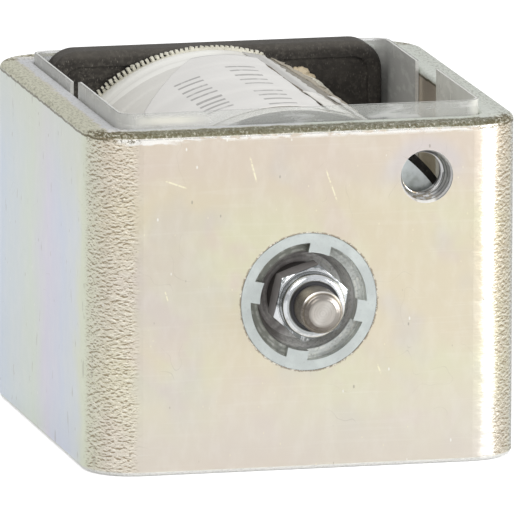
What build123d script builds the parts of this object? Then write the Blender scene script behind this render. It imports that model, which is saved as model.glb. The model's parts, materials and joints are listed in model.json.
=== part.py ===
from build123d import *
from math import cos, radians, sin, sqrt
import os

# Push solenoid for an interlock. All sizes are millimetres.
# The object stands on the lower edge of its steel frame: Z = 0 is that edge, the rod
# looks out along -Y, and X and Y are centred on the overall length and width.
# Depths below are counted rearwards from the outer front face of the frame.

# Steel frame, bent from strip
frame_width = 51.0
frame_depth = 53.5
frame_height = 40.0
frame_wall = 4.0
axis_drop = 0.3
bend_inner_radius = 2.0
rim_outer_round = 0.7
rim_inner_round = 0.5
seam_width = 0.3

# Tapped hole in the front wall
tapping_diameter = 5.0
tapping_mouth_diameter = 6.2
tapping_mouth_angle = 34
tapping_from_side = 11.6
tapping_from_top = 6.2

# Push rod
rod_diameter = 5.0
rod_reach = 7.0
rod_collar_end = 0.8
rod_tip_diameter = 3.1
rod_neck_diameter = 4.1
rod_neck_length = 0.2
rod_thread_diameter = 4.6
rod_thread_beyond_nut = 1.0

# Lock nut with a nylon ring
nut_across_flats = 8.0
nut_height = 5.0
nut_hex_height = 3.3
nut_reach = 2.9
nut_collar_diameter = 7.5
nut_mouth_diameter = 5.85
nut_corner_angle = 18
nut_insert_length = 1.5
nut_insert_depth = 0.25

# Buffer washer under the nut
buffer_thickness = 2.3

# Fixed pole, staked into the front wall
pole_spigot_diameter = 16.0
pole_core_diameter = 14.0
stake_width = 1.1
stake_depth = 1.2
stake_tab_width = 2.5
stake_tab_count = 4
stake_tab_angle = -12
pole_bush_depth = 9.0

# Rod bush and anti-residual shim
bush_outer_diameter = 7.0
shim_thickness = 0.3

# Plunger and its travel
stroke = 5.0
plunger_length = 23.9
plunger_inset = 1.0
plunger_chamfer = 0.5
cross_pin_diameter = 2.0
cross_pin_from_rear = 10.0
cross_pin_inset = 0.6

# Return spring inside the nose of the plunger
spring_pocket_diameter = 9.4
spring_pocket_depth = 8.0
spring_wire = 0.7
spring_turns = 6

# Rear flux bush in the rear wall
rear_bush_diameter = 16.6

# Guide tube
tube_wall = 0.4

# Front flux washer
flux_washer_thickness = 1.5

# Insulating films
film_thickness = 0.4
front_film_stand = 1.7
rear_film_stand = 1.0
front_leg_left = 21.0
front_leg_right = 20.0
leg_slit_left = 4.0
leg_slit_right = 9.8
film_hole_margin = 0.4

# Bobbin
barrel_wall = 1.1
front_flange_thickness = 1.5
rear_flange_thickness = 3.4
rear_flange_stand = 1.35
rear_flange_corner_radius = 3.5
rear_flange_edge_round = 0.8
rear_flange_bead = 1.8
rear_flange_recess = 0.3

# Tape wrap: a front and a rear circle, each with its own centre off the rod's axis
wrap_front_x = -0.4
wrap_front_z = 0.9
wrap_rear_x = -1.1
wrap_rear_z = 2.2
coil_stand = 1.05
wrap_thickness = 0.6
padding_least = 0.2

# Lead joints under the padding
joint_diameter = 2.4
joint_length = 9.0
joint_from_rear = 4.4
joint_cover = 0.6
joint_angles = (72, 104)

# Paper collar at the rear end of the coil
collar_thickness = 0.5
collar_overhang = 0.65

# Paper label on the wrap, seen from above
label_thickness = 0.15
label_right = 4.4
label_left = -12.3
label_slant_x = -4.7
label_from_front = 2.0
label_from_rear = 4.2
label_slant_length = 11.7

# Dab of glue between the coil and the rear flange
glue_radius = 1.5
glue_height = 0.85
glue_angle = 54.8
glue_inset = 0.3

# Clearances
seat_gap = 0.05
slide_gap = 0.1
rest_gap = 0.05
spring_gap = 0.05
loose_gap = 0.4
washer_gap = 0.25
lower_edge_gap = 0.05
film_edge_gap = 0.4
flange_edge_gap = 0.3
rear_stack_gap = 0.15
rear_bush_gap = 0.2
washer_side_gap = 1.1
front_flange_side_gap = 0.1
rear_flange_side_gap = 1.0
wrap_front_gap = 0.55
wrap_rear_gap = 0.6
nut_wrench_gap = 1.15
buffer_gap = 0.1
recess_floor_gap = 0.4
shim_gap = 0.4
spring_side_gap = 0.55

# Places worked out from the sizes above
front_y = (rod_reach - frame_depth) / 2
axis_z = frame_height / 2 - axis_drop
rear_wall_depth = frame_depth - frame_wall

rod_axis = Axis((0, front_y, axis_z), (0, 1, 0))
# Radius along X, depth along Y: the half section of everything turned about the rod.
half_section = Plane(origin=(0, front_y, axis_z), x_dir=(1, 0, 0), z_dir=(0, 0, 1))


def station(depth):
    # A plane across the rod at a depth behind the front face, looking forward.
    return Plane(origin=(0, front_y + depth, axis_z), x_dir=(1, 0, 0), z_dir=(0, -1, 0))


def level(height):
    # A horizontal plane, with its origin above the rod at the front face.
    return Plane(origin=(0, front_y, height), x_dir=(1, 0, 0), z_dir=(0, 0, 1))


def ring(inner_radius, outer_radius, front, rear):
    # The half section of a plain ring, drawn in the open sketch.
    with Locations(((inner_radius + outer_radius) / 2, (front + rear) / 2)):
        Rectangle(outer_radius - inner_radius, rear - front)


rod_radius = rod_diameter / 2
thread_radius = rod_thread_diameter / 2
nut_corner_radius = nut_across_flats / sqrt(3)
nut_collar_radius = nut_collar_diameter / 2
insert_radius = nut_mouth_diameter / 2
recess_radius = nut_corner_radius + nut_wrench_gap
stake_radius = recess_radius + stake_width
recess_floor_radius = nut_corner_radius + recess_floor_gap
buffer_radius = nut_across_flats / 2 - buffer_gap
spigot_radius = pole_spigot_diameter / 2
core_radius = pole_core_diameter / 2
shim_radius = core_radius - shim_gap
bush_radius = bush_outer_diameter / 2
rear_bush_radius = rear_bush_diameter / 2
tube_inner_radius = core_radius + seat_gap
tube_outer_radius = tube_inner_radius + tube_wall
plunger_radius = tube_inner_radius - slide_gap
pocket_radius = spring_pocket_diameter / 2
spring_radius = pocket_radius - spring_side_gap
barrel_inner_radius = tube_outer_radius + seat_gap
barrel_outer_radius = barrel_inner_radius + barrel_wall

tapping_offset_x = frame_width / 2 - tapping_from_side
tapping_offset_z = frame_height - tapping_from_top - axis_z
film_width = frame_width - 2 * (frame_wall + seat_gap)
film_depth = frame_depth - 2 * (frame_wall + seat_gap)
film_corner = bend_inner_radius - seat_gap
film_bottom = film_edge_gap
room_half_width = film_width / 2 - film_thickness
collar_half_width = room_half_width - slide_gap
# The round pieces fit the narrower of the room between the films and the frame's height.
round_room = min(room_half_width, frame_height / 2 + coil_stand)
washer_radius = round_room - washer_side_gap
front_flange_radius = round_room - front_flange_side_gap
rear_flange_width = 2 * (room_half_width - rear_flange_side_gap)
rear_flange_top = frame_height + rear_flange_stand
rear_flange_height = rear_flange_top - flange_edge_gap
wrap_front_radius = round_room - wrap_front_gap - abs(wrap_front_x)
wrap_rear_radius = round_room - wrap_rear_gap - abs(wrap_rear_x)
wrap_rear_shift = sqrt(wrap_rear_x**2 + wrap_rear_z**2)
winding_radius = wrap_rear_radius - wrap_rear_shift - wrap_thickness - padding_least
joint_radius = winding_radius + joint_cover + joint_diameter / 2

nut_back = nut_height - nut_reach
recess_depth = nut_back + rest_gap + buffer_thickness
film_rear = frame_wall + seat_gap + film_thickness
washer_front = film_rear + washer_gap
washer_rear = washer_front + flux_washer_thickness
front_flange_front = washer_rear + slide_gap
front_flange_rear = front_flange_front + front_flange_thickness
rear_flange_rear = rear_wall_depth - seat_gap - film_thickness - rear_stack_gap
rear_flange_front = rear_flange_rear - rear_flange_thickness
rear_bush_front = rear_flange_rear + rear_bush_gap
tube_front = washer_rear + seat_gap
tube_rear = rear_bush_front - seat_gap
coil_front = front_flange_rear + seat_gap
collar_rear = rear_flange_front - seat_gap
collar_front = collar_rear - collar_thickness
coil_rear = collar_front - seat_gap
joint_depth = coil_rear - joint_from_rear - joint_length
label_front = coil_front + label_from_front
label_rear = coil_rear - label_from_rear
label_slant_start = label_rear - label_slant_length
glue_radial = wrap_rear_radius + collar_overhang - glue_inset
glue_x = wrap_rear_x + glue_radial * cos(radians(glue_angle))
glue_z = wrap_rear_z + glue_radial * sin(radians(glue_angle))
plunger_rear = frame_depth - plunger_inset
plunger_front = plunger_rear - plunger_length
shim_rear = plunger_front - slide_gap - stroke
pole_face_depth = shim_rear - shim_thickness
spring_floor = plunger_front + spring_pocket_depth
cross_pin_depth = plunger_rear - cross_pin_from_rear
rod_end = cross_pin_depth + 2 * cross_pin_diameter

with BuildPart() as box_frame:
    with BuildSketch(level(0)):
        with Locations((0, frame_depth / 2)):
            RectangleRounded(frame_width, frame_depth, bend_inner_radius + frame_wall)
            RectangleRounded(
                frame_width - 2 * frame_wall,
                frame_depth - 2 * frame_wall,
                bend_inner_radius,
                mode=Mode.SUBTRACT,
            )
    extrude(amount=frame_height)
    for rim in (
        box_frame.faces().sort_by(Axis.Z)[0],
        box_frame.faces().sort_by(Axis.Z)[-1],
    ):
        fillet(rim.outer_wire().edges(), radius=rim_outer_round)
    for rim in (
        box_frame.faces().sort_by(Axis.Z)[0],
        box_frame.faces().sort_by(Axis.Z)[-1],
    ):
        fillet(rim.inner_wires()[0].edges(), radius=rim_inner_round)
    with BuildSketch(station(0)):
        Circle(spigot_radius + seat_gap)
    extrude(amount=-frame_wall, mode=Mode.SUBTRACT)
    with BuildSketch(station(frame_depth)):
        Circle(rear_bush_radius + seat_gap)
        Rectangle(seam_width, frame_height)
    extrude(amount=frame_wall, mode=Mode.SUBTRACT)
    with Locations(station(0)):
        with Locations((tapping_offset_x, tapping_offset_z)):
            CounterSinkHole(
                radius=tapping_diameter / 2,
                counter_sink_radius=tapping_mouth_diameter / 2,
                depth=frame_wall,
                counter_sink_angle=tapping_mouth_angle,
            )
box_frame.part.label = "box_frame"

with BuildPart() as front_pole:
    with BuildSketch(half_section):
        ring(0, spigot_radius, 0, washer_rear)
        ring(0, core_radius, washer_rear, pole_face_depth)
    revolve(axis=rod_axis)
    pole_rims = front_pole.edges().filter_by(GeomType.CIRCLE).sort_by(Axis.Y)
    chamfer(pole_rims[-1], length=0.3)
    with BuildSketch(half_section):
        with BuildLine():
            Polyline(
                (0, 0),
                (recess_radius, 0),
                (recess_radius, stake_depth),
                (recess_floor_radius, recess_depth),
                (0, recess_depth),
                close=True,
            )
        make_face()
    revolve(axis=rod_axis, mode=Mode.SUBTRACT)
    with BuildSketch(station(0)):
        Circle(stake_radius)
        with PolarLocations(stake_radius, stake_tab_count, start_angle=stake_tab_angle):
            Rectangle(2 * stake_width + loose_gap, stake_tab_width, mode=Mode.SUBTRACT)
    extrude(amount=-stake_depth, mode=Mode.SUBTRACT)
    with BuildSketch(station(recess_depth)):
        Circle(rod_radius + loose_gap)
    extrude(amount=recess_depth - pole_face_depth, mode=Mode.SUBTRACT)
    with BuildSketch(station(pole_bush_depth)):
        Circle(bush_radius)
    extrude(amount=pole_bush_depth - pole_face_depth, mode=Mode.SUBTRACT)
front_pole.part.label = "front_pole"

with BuildPart() as rod_bush:
    with BuildSketch(half_section):
        ring(
            rod_radius + seat_gap,
            bush_radius - seat_gap / 2,
            pole_bush_depth + seat_gap,
            pole_face_depth,
        )
    revolve(axis=rod_axis)
rod_bush.part.label = "rod_bush"

with BuildPart() as pole_shim:
    with BuildSketch(half_section):
        ring(rod_radius + loose_gap, shim_radius, pole_face_depth, shim_rear)
    revolve(axis=rod_axis)
pole_shim.part.label = "pole_shim"

with BuildPart() as buffer_washer:
    with BuildSketch(half_section):
        ring(rod_radius + loose_gap, buffer_radius, recess_depth - buffer_thickness, recess_depth)
    revolve(axis=rod_axis)
buffer_washer.part.label = "buffer_washer"

with BuildPart() as front_flux_washer:
    with BuildSketch(half_section):
        ring(spigot_radius + seat_gap, washer_radius, washer_front, washer_rear)
    revolve(axis=rod_axis)
    split(bisect_by=level(lower_edge_gap), keep=Keep.TOP)
front_flux_washer.part.label = "front_flux_washer"

with BuildPart() as guide_tube:
    with BuildSketch(half_section):
        ring(tube_inner_radius, tube_outer_radius, tube_front, tube_rear)
    revolve(axis=rod_axis)
guide_tube.part.label = "guide_tube"

with BuildPart() as rear_flux_bush:
    with BuildSketch(half_section):
        ring(plunger_radius + slide_gap, rear_bush_radius, rear_bush_front, frame_depth)
    revolve(axis=rod_axis)
rear_flux_bush.part.label = "rear_flux_bush"

with BuildPart() as bobbin:
    with BuildSketch(half_section):
        ring(0, front_flange_radius, front_flange_front, front_flange_rear)
    revolve(axis=rod_axis)
    split(bisect_by=level(flange_edge_gap), keep=Keep.TOP)
    flange_centre = rear_flange_top - rear_flange_height / 2 - axis_z
    with BuildSketch(station(rear_flange_front)):
        with Locations((0, flange_centre)):
            RectangleRounded(rear_flange_width, rear_flange_height, rear_flange_corner_radius)
    extrude(amount=-rear_flange_thickness)
    flange_faces = bobbin.faces().filter_by(Axis.Y).sort_by(Axis.Y)
    fillet(flange_faces[2].outer_wire().edges(), radius=rear_flange_edge_round)
    with BuildSketch(station(rear_flange_front)):
        with Locations((0, flange_centre)):
            RectangleRounded(
                rear_flange_width - 2 * rear_flange_bead,
                rear_flange_height - 2 * rear_flange_bead,
                rear_flange_corner_radius - rear_flange_bead,
            )
    extrude(amount=-rear_flange_recess, mode=Mode.SUBTRACT)
    with BuildSketch(half_section):
        ring(0, barrel_outer_radius, front_flange_front, rear_flange_rear)
    revolve(axis=rod_axis)
    with BuildSketch(half_section):
        ring(0, barrel_inner_radius, front_flange_front, rear_flange_rear)
    revolve(axis=rod_axis, mode=Mode.SUBTRACT)
bobbin.part.label = "bobbin"

with BuildPart() as winding:
    with BuildSketch(half_section):
        ring(barrel_outer_radius + seat_gap, winding_radius, coil_front, coil_rear)
    revolve(axis=rod_axis)
winding.part.label = "winding"


def wrap_circle(depth, growth):
    # The outline of the tape wrap at the front or the rear end, grown by an offset.
    share = (depth - coil_front) / (coil_rear - coil_front)
    centre_x = wrap_front_x + share * (wrap_rear_x - wrap_front_x)
    centre_z = wrap_front_z + share * (wrap_rear_z - wrap_front_z)
    radius = wrap_front_radius + share * (wrap_rear_radius - wrap_front_radius)
    with Locations((centre_x, centre_z)):
        Circle(radius + growth)


with BuildPart() as coil_wrap:
    for growth, mode in ((0, Mode.ADD), (-wrap_thickness, Mode.SUBTRACT)):
        with BuildSketch(station(coil_front)):
            wrap_circle(coil_front, growth)
        with BuildSketch(station(coil_rear)):
            wrap_circle(coil_rear, growth)
        loft(mode=mode)
coil_wrap.part.label = "coil_wrap"

joint_places = [
    (joint_radius * cos(radians(angle)), joint_radius * sin(radians(angle)))
    for angle in joint_angles
]

with BuildPart() as coil_padding:
    with BuildSketch(station(coil_front)):
        wrap_circle(coil_front, -wrap_thickness - seat_gap)
    with BuildSketch(station(coil_rear)):
        wrap_circle(coil_rear, -wrap_thickness - seat_gap)
    loft()
    with BuildSketch(half_section):
        ring(0, winding_radius + seat_gap, coil_front, coil_rear)
    revolve(axis=rod_axis, mode=Mode.SUBTRACT)
    with BuildSketch(station(joint_depth - seat_gap)):
        with Locations(*joint_places):
            Circle(joint_diameter / 2 + seat_gap)
    extrude(amount=-joint_length - 2 * seat_gap, mode=Mode.SUBTRACT)
coil_padding.part.label = "coil_padding"

with BuildPart() as lead_joints:
    with BuildSketch(station(joint_depth)):
        with Locations(*joint_places):
            Circle(joint_diameter / 2)
    extrude(amount=-joint_length)
lead_joints.part.label = "lead_joints"

with BuildPart() as paper_collar:
    with BuildSketch(station(collar_front)):
        wrap_circle(coil_rear, collar_overhang)
        Rectangle(2 * collar_half_width, 2 * rear_flange_top, mode=Mode.INTERSECT)
        Circle(barrel_outer_radius + seat_gap, mode=Mode.SUBTRACT)
        with Locations((glue_x, glue_z)):
            Circle(glue_radius + seat_gap, mode=Mode.SUBTRACT)
    extrude(amount=-collar_thickness)
paper_collar.part.label = "paper_collar"

with BuildPart() as rating_label:
    for growth, mode in ((seat_gap + label_thickness, Mode.ADD), (seat_gap, Mode.SUBTRACT)):
        with BuildSketch(station(coil_front)):
            wrap_circle(coil_front, growth)
        with BuildSketch(station(coil_rear)):
            wrap_circle(coil_rear, growth)
        loft(mode=mode)
    with BuildSketch(level(axis_z)):
        with BuildLine():
            Polyline(
                (label_right, label_front),
                (label_right, label_rear),
                (label_slant_x, label_rear),
                (label_left, label_slant_start),
                (label_left, label_front),
                close=True,
            )
        make_face()
    extrude(amount=frame_height, mode=Mode.INTERSECT)
rating_label.part.label = "rating_label"

with BuildPart() as glue_dab:
    dab_plane = Plane(
        origin=(glue_x, front_y + rear_flange_front + rear_flange_recess, axis_z + glue_z),
        x_dir=(1, 0, 0),
        z_dir=(0, 0, 1),
    )
    with BuildSketch(dab_plane):
        with BuildLine():
            dab_top = ThreePointArc(
                (0, -glue_height),
                (glue_radius * 0.6, -glue_height * 0.75),
                (glue_radius, -seat_gap),
            )
            Polyline(dab_top @ 1, (0, -seat_gap), (0, -glue_height))
        make_face()
    revolve(axis=Axis(dab_plane.origin, (0, 1, 0)))
glue_dab.part.label = "glue_dab"


def film_sheet(wall_end, left_end, right_end, stand, hole_radius):
    # A folded film along one end wall, with a leg down each side of the frame.
    with BuildPart() as sheet:
        with BuildSketch(level(film_bottom)):
            with Locations((0, frame_depth / 2)):
                RectangleRounded(film_width, film_depth, film_corner)
                RectangleRounded(
                    film_width - 2 * film_thickness,
                    film_depth - 2 * film_thickness,
                    film_corner - film_thickness,
                    mode=Mode.SUBTRACT,
                )
            with BuildLine():
                Polyline(
                    (-frame_width / 2, wall_end),
                    (frame_width / 2, wall_end),
                    (frame_width / 2, right_end),
                    (0, right_end),
                    (0, left_end),
                    (-frame_width / 2, left_end),
                    close=True,
                )
            make_face(mode=Mode.INTERSECT)
        extrude(amount=frame_height + stand - film_bottom)
        with BuildSketch(station(wall_end)):
            Circle(hole_radius + seat_gap)
        extrude(amount=film_thickness + frame_wall, both=True, mode=Mode.SUBTRACT)
    return sheet


front_film = film_sheet(
    frame_wall,
    frame_wall + front_leg_left,
    frame_wall + front_leg_right,
    front_film_stand,
    spigot_radius,
)
with BuildPart(mode=Mode.PRIVATE) as tapping_window:
    with BuildSketch(station(frame_wall)):
        with Locations((tapping_offset_x, tapping_offset_z)):
            Circle(tapping_diameter / 2 + film_hole_margin)
    extrude(amount=-film_thickness - frame_wall)
front_film.part -= tapping_window.part
front_film.part.label = "front_film"

rear_film = film_sheet(
    rear_wall_depth,
    frame_wall + front_leg_left + leg_slit_left,
    frame_wall + front_leg_right + leg_slit_right,
    rear_film_stand,
    rear_bush_radius,
)
rear_film.part.label = "rear_film"

with BuildPart() as plunger:
    with BuildSketch(half_section):
        ring(0, plunger_radius, plunger_front, plunger_rear)
    revolve(axis=rod_axis)
    end_rims = plunger.edges().filter_by(GeomType.CIRCLE).sort_by(Axis.Y)
    chamfer([end_rims[0], end_rims[-1]], length=plunger_chamfer)
    with BuildSketch(station(plunger_front)):
        Circle(pocket_radius)
    extrude(amount=-spring_pocket_depth, mode=Mode.SUBTRACT)
    with BuildSketch(station(spring_floor)):
        Circle(rod_radius + seat_gap)
    extrude(amount=spring_floor - rod_end - seat_gap, mode=Mode.SUBTRACT)
    with BuildSketch(Plane.YZ):
        with Locations((front_y + cross_pin_depth, axis_z)):
            Circle(cross_pin_diameter / 2 + seat_gap / 2)
    extrude(amount=plunger_radius, both=True, mode=Mode.SUBTRACT)
plunger.part.label = "plunger"

with BuildPart() as cross_pin:
    with BuildSketch(Plane.YZ):
        with Locations((front_y + cross_pin_depth, axis_z)):
            Circle(cross_pin_diameter / 2)
    extrude(amount=plunger_radius - cross_pin_inset, both=True)
cross_pin.part.label = "cross_pin"

with BuildPart() as push_rod:
    neck_end = -rod_reach + rod_neck_length
    collar_end = -rod_reach + rod_collar_end
    thread_end = nut_back + rod_thread_beyond_nut
    with BuildSketch(half_section):
        with BuildLine():
            Polyline(
                (0, -rod_reach),
                (rod_tip_diameter / 2, -rod_reach),
                (rod_neck_diameter / 2, neck_end),
                (rod_radius, collar_end),
                (rod_radius, -nut_reach),
                (thread_radius, -nut_reach),
                (thread_radius, thread_end),
                (rod_radius, thread_end),
                (rod_radius, rod_end),
                (0, rod_end),
                close=True,
            )
        make_face()
    revolve(axis=rod_axis)
    with BuildSketch(Plane.YZ):
        with Locations((front_y + cross_pin_depth, axis_z)):
            Circle(cross_pin_diameter / 2 + seat_gap / 2)
    extrude(amount=rod_diameter, both=True, mode=Mode.SUBTRACT)
push_rod.part.label = "push_rod"

nut_shoulder = nut_back - nut_hex_height
with BuildPart() as lock_nut:
    with BuildSketch(station(nut_shoulder)):
        RegularPolygon(nut_corner_radius, 6, rotation=nut_corner_angle)
    extrude(amount=-nut_hex_height)
    corner_drop = (nut_corner_radius - nut_across_flats / 2) * sin(radians(30))
    with BuildSketch(half_section):
        with BuildLine():
            Polyline(
                (0, nut_shoulder),
                (nut_across_flats / 2, nut_shoulder),
                (nut_corner_radius, nut_shoulder + corner_drop),
                (nut_corner_radius, nut_back - corner_drop),
                (nut_across_flats / 2, nut_back),
                (0, nut_back),
                close=True,
            )
        make_face()
    revolve(axis=rod_axis, mode=Mode.INTERSECT)
    with BuildSketch(half_section) as collar_profile:
        ring(0, nut_collar_radius, -nut_reach, nut_shoulder + seat_gap)
        fillet(
            collar_profile.vertices().group_by(Axis.Y)[0].sort_by(Axis.X)[-1],
            radius=(nut_collar_radius - insert_radius) * 0.8,
        )
    revolve(axis=rod_axis)
    with BuildSketch(half_section):
        ring(0, thread_radius + seat_gap, -nut_reach, nut_back)
        ring(0, insert_radius, -nut_reach, nut_insert_length + nut_insert_depth - nut_reach)
    revolve(axis=rod_axis, mode=Mode.SUBTRACT)
lock_nut.part.label = "lock_nut"

with BuildPart() as nut_insert:
    insert_front = nut_insert_depth - nut_reach
    with BuildSketch(half_section):
        ring(
            thread_radius + seat_gap,
            insert_radius - seat_gap / 2,
            insert_front,
            insert_front + nut_insert_length,
        )
    revolve(axis=rod_axis)
nut_insert.part.label = "nut_insert"

spring_start = shim_rear + spring_gap + spring_wire / 2
spring_end = spring_floor - spring_gap - spring_wire / 2
with BuildPart() as return_spring:
    with BuildLine() as coil_line:
        Helix(
            pitch=(spring_end - spring_start) / spring_turns,
            height=spring_end - spring_start,
            radius=spring_radius - spring_wire / 2,
            center=(0, front_y + spring_start, axis_z),
            direction=(0, 1, 0),
        )
    with BuildSketch(Plane(origin=coil_line.line @ 0, z_dir=coil_line.line % 0)):
        RegularPolygon(spring_wire / 2, 6)
    sweep(path=coil_line.line, is_frenet=True)
return_spring.part.label = "return_spring"

pieces = [
    box_frame,
    front_pole,
    rod_bush,
    pole_shim,
    buffer_washer,
    front_flux_washer,
    guide_tube,
    rear_flux_bush,
    bobbin,
    winding,
    coil_padding,
    lead_joints,
    coil_wrap,
    paper_collar,
    rating_label,
    glue_dab,
    front_film,
    rear_film,
    plunger,
    cross_pin,
    push_rod,
    lock_nut,
    nut_insert,
    return_spring,
]
os.makedirs("parts", exist_ok=True)
for piece in pieces:
    export_step(piece.part, f"parts/{piece.part.label}.step")
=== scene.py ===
import json
import math

import bmesh
import bpy
from mathutils import Matrix, Vector, noise

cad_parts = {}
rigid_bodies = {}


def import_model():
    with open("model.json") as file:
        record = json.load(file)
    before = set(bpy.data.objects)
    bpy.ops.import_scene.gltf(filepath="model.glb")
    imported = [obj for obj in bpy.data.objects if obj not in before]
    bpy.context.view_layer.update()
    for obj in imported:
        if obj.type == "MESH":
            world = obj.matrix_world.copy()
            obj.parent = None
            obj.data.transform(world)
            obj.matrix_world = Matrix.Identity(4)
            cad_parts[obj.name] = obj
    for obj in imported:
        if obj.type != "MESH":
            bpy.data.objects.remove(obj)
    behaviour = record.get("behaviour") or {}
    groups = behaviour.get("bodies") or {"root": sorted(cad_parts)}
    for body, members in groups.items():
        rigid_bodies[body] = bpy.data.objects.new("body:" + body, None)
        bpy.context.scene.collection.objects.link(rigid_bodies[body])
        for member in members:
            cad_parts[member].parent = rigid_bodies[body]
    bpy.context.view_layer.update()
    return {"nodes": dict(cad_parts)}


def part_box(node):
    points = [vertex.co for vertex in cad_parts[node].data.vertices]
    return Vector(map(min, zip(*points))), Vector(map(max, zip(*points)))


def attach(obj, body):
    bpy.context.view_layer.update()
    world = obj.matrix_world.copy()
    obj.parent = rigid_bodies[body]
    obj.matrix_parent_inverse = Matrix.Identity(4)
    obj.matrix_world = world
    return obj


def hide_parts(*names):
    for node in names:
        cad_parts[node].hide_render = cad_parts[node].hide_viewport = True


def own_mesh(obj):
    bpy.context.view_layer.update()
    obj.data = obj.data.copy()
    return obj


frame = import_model()
mm = 0.001
print("frame loaded")

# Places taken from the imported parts, in mm
frameLow, frameHigh = (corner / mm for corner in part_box("box_frame"))
rodLow, rodHigh = (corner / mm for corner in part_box("push_rod"))
flangeLow, flangeHigh = (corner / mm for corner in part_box("bobbin"))
wrapLow, wrapHigh = (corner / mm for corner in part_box("coil_wrap"))
collarLow, collarHigh = (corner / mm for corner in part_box("paper_collar"))
frontY = frameLow.y
frameMidY = (frameLow.y + frameHigh.y) / 2
halfWidth = frameHigh.x
halfDepth = frameHigh.y - frameMidY
barrelRadius = 8.75
axisZ = (rodLow.z + rodHigh.z) / 2
wall = 4.0
bend = 6.0
filmOuter = dict(halfX=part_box("front_film")[1].x / mm, halfY=halfDepth - wall - 0.05, corner=1.95)
tapping = dict(radius=2.60, pitch=0.6, turns=2.6, wire=0.20, steps=40, x=13.9, z=33.8 - axisZ, start=2.15)


# A socket that takes part in Python sums
class Val:
    def __init__(self, finish, socket):
        self.finish = finish
        self.socket = socket

    def maths(self, operation, first, second=0.0):
        made = self.finish.node("ShaderNodeMath", {"operation": operation}, {0: first, 1: second})
        return Val(self.finish, made.outputs[0])

    def __add__(self, other):
        return self.maths("ADD", self, other)

    def __radd__(self, other):
        return self.maths("ADD", other, self)

    def __sub__(self, other):
        return self.maths("SUBTRACT", self, other)

    def __rsub__(self, other):
        return self.maths("SUBTRACT", other, self)

    def __mul__(self, other):
        return self.maths("MULTIPLY", self, other)

    def __rmul__(self, other):
        return self.maths("MULTIPLY", other, self)

    def __truediv__(self, other):
        return self.maths("DIVIDE", self, other)

    def __pow__(self, other):
        return self.maths("POWER", self, other)

    def __abs__(self):
        return self.maths("ABSOLUTE", self)

    def top(self, other):
        return self.maths("MAXIMUM", self, other)

    def low(self, other):
        return self.maths("MINIMUM", self, other)

    def sine(self):
        return self.maths("SINE", self)

    def floor(self):
        return self.maths("FLOOR", self)


# A material under construction, with its Object coordinates in mm
class Finish:
    def __init__(self, name):
        self.material = bpy.data.materials.new(name)
        self.material.use_nodes = True
        self.tree = self.material.node_tree
        self.tree.nodes.clear()
        where = self.node("ShaderNodeTexCoord")
        self.place = self.vector("SCALE", Val(self, where.outputs["Object"]), scale=1 / mm)
        parts = self.node("ShaderNodeSeparateXYZ", {}, {0: self.place})
        self.x, self.y, self.z = (Val(self, parts.outputs[i]) for i in range(3))

    def node(self, kind, settings=None, values=None):
        made = self.tree.nodes.new(kind)
        for key, value in (settings or {}).items():
            if key == "stops":
                ramp = made.color_ramp
                while len(ramp.elements) < len(value):
                    ramp.elements.new(0.5)
                for element, (at, colour) in zip(ramp.elements, value):
                    element.position = at
                    element.color = (*colour, 1.0)
            else:
                setattr(made, key, value)
        for key, value in (values or {}).items():
            if isinstance(value, Val):
                self.tree.links.new(value.socket, made.inputs[key])
            elif isinstance(value, tuple) and len(value) == 3 and made.inputs[key].type == "RGBA":
                made.inputs[key].default_value = (*value, 1.0)
            else:
                made.inputs[key].default_value = value
        return made

    def vector(self, operation, first, second=(0.0, 0.0, 0.0), scale=1.0):
        values = {0: first, "Scale": scale} if operation == "SCALE" else {0: first, 1: second}
        made = self.node("ShaderNodeVectorMath", {"operation": operation}, values)
        return Val(self, made.outputs[0])

    def noise(self, perMm, detail=2.0, rough=0.5, stretch=(1.0, 1.0, 1.0), shift=(0.0, 0.0, 0.0)):
        place = self.vector("MULTIPLY_ADD", self.place, stretch)
        self.tree.nodes[-1].inputs[2].default_value = shift
        made = self.node(
            "ShaderNodeTexNoise",
            {"noise_dimensions": "3D"},
            {"Vector": place, "Scale": perMm, "Detail": detail, "Roughness": rough},
        )
        return Val(self, made.outputs["Fac"])

    def cells(self, perMm, stretch=(1.0, 1.0, 1.0), shift=(0.0, 0.0, 0.0), feature="F1"):
        place = self.vector("MULTIPLY_ADD", self.place, stretch)
        self.tree.nodes[-1].inputs[2].default_value = shift
        made = self.node("ShaderNodeTexVoronoi", {"feature": feature}, {"Vector": place, "Scale": perMm})
        return Val(self, made.outputs["Distance"])

    # The rise of a noise over a short way up: painted shade below each wrinkle, painted highlight above it
    def emboss(self, perMm, up, stretch, shift=(0.0, 0.0, 0.0)):
        above = (shift[0], shift[1], shift[2] + up * stretch[2])
        return self.noise(perMm, 2, 0.5, stretch, shift) - self.noise(perMm, 2, 0.5, stretch, above)

    def step(self, value, start, end, low=0.0, high=1.0):
        made = self.node(
            "ShaderNodeMapRange",
            {"interpolation_type": "SMOOTHSTEP"},
            {"Value": value, "From Min": start, "From Max": end, "To Min": low, "To Max": high},
        )
        return Val(self, made.outputs[0])

    def mix(self, factor, first, second, blend="MIX"):
        made = self.node(
            "ShaderNodeMix",
            {"data_type": "RGBA", "blend_type": blend},
            {0: factor, 6: first, 7: second},
        )
        return Val(self, made.outputs[2])

    def bump(self, height, depthMm, normal=None, strength=1.0):
        values = {"Height": height, "Distance": depthMm * mm, "Strength": strength}
        if normal is not None:
            values["Normal"] = normal
        made = self.node("ShaderNodeBump", {}, values)
        return Val(self, made.outputs[0])

    def surface(self, **values):
        shader = self.node("ShaderNodeBsdfPrincipled", {}, {k.replace("_", " "): v for k, v in values.items()})
        self.node("ShaderNodeOutputMaterial", {}, {0: Val(self, shader.outputs[0])})
        return self.material


def grey(value):
    return (value, value, value)


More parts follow.
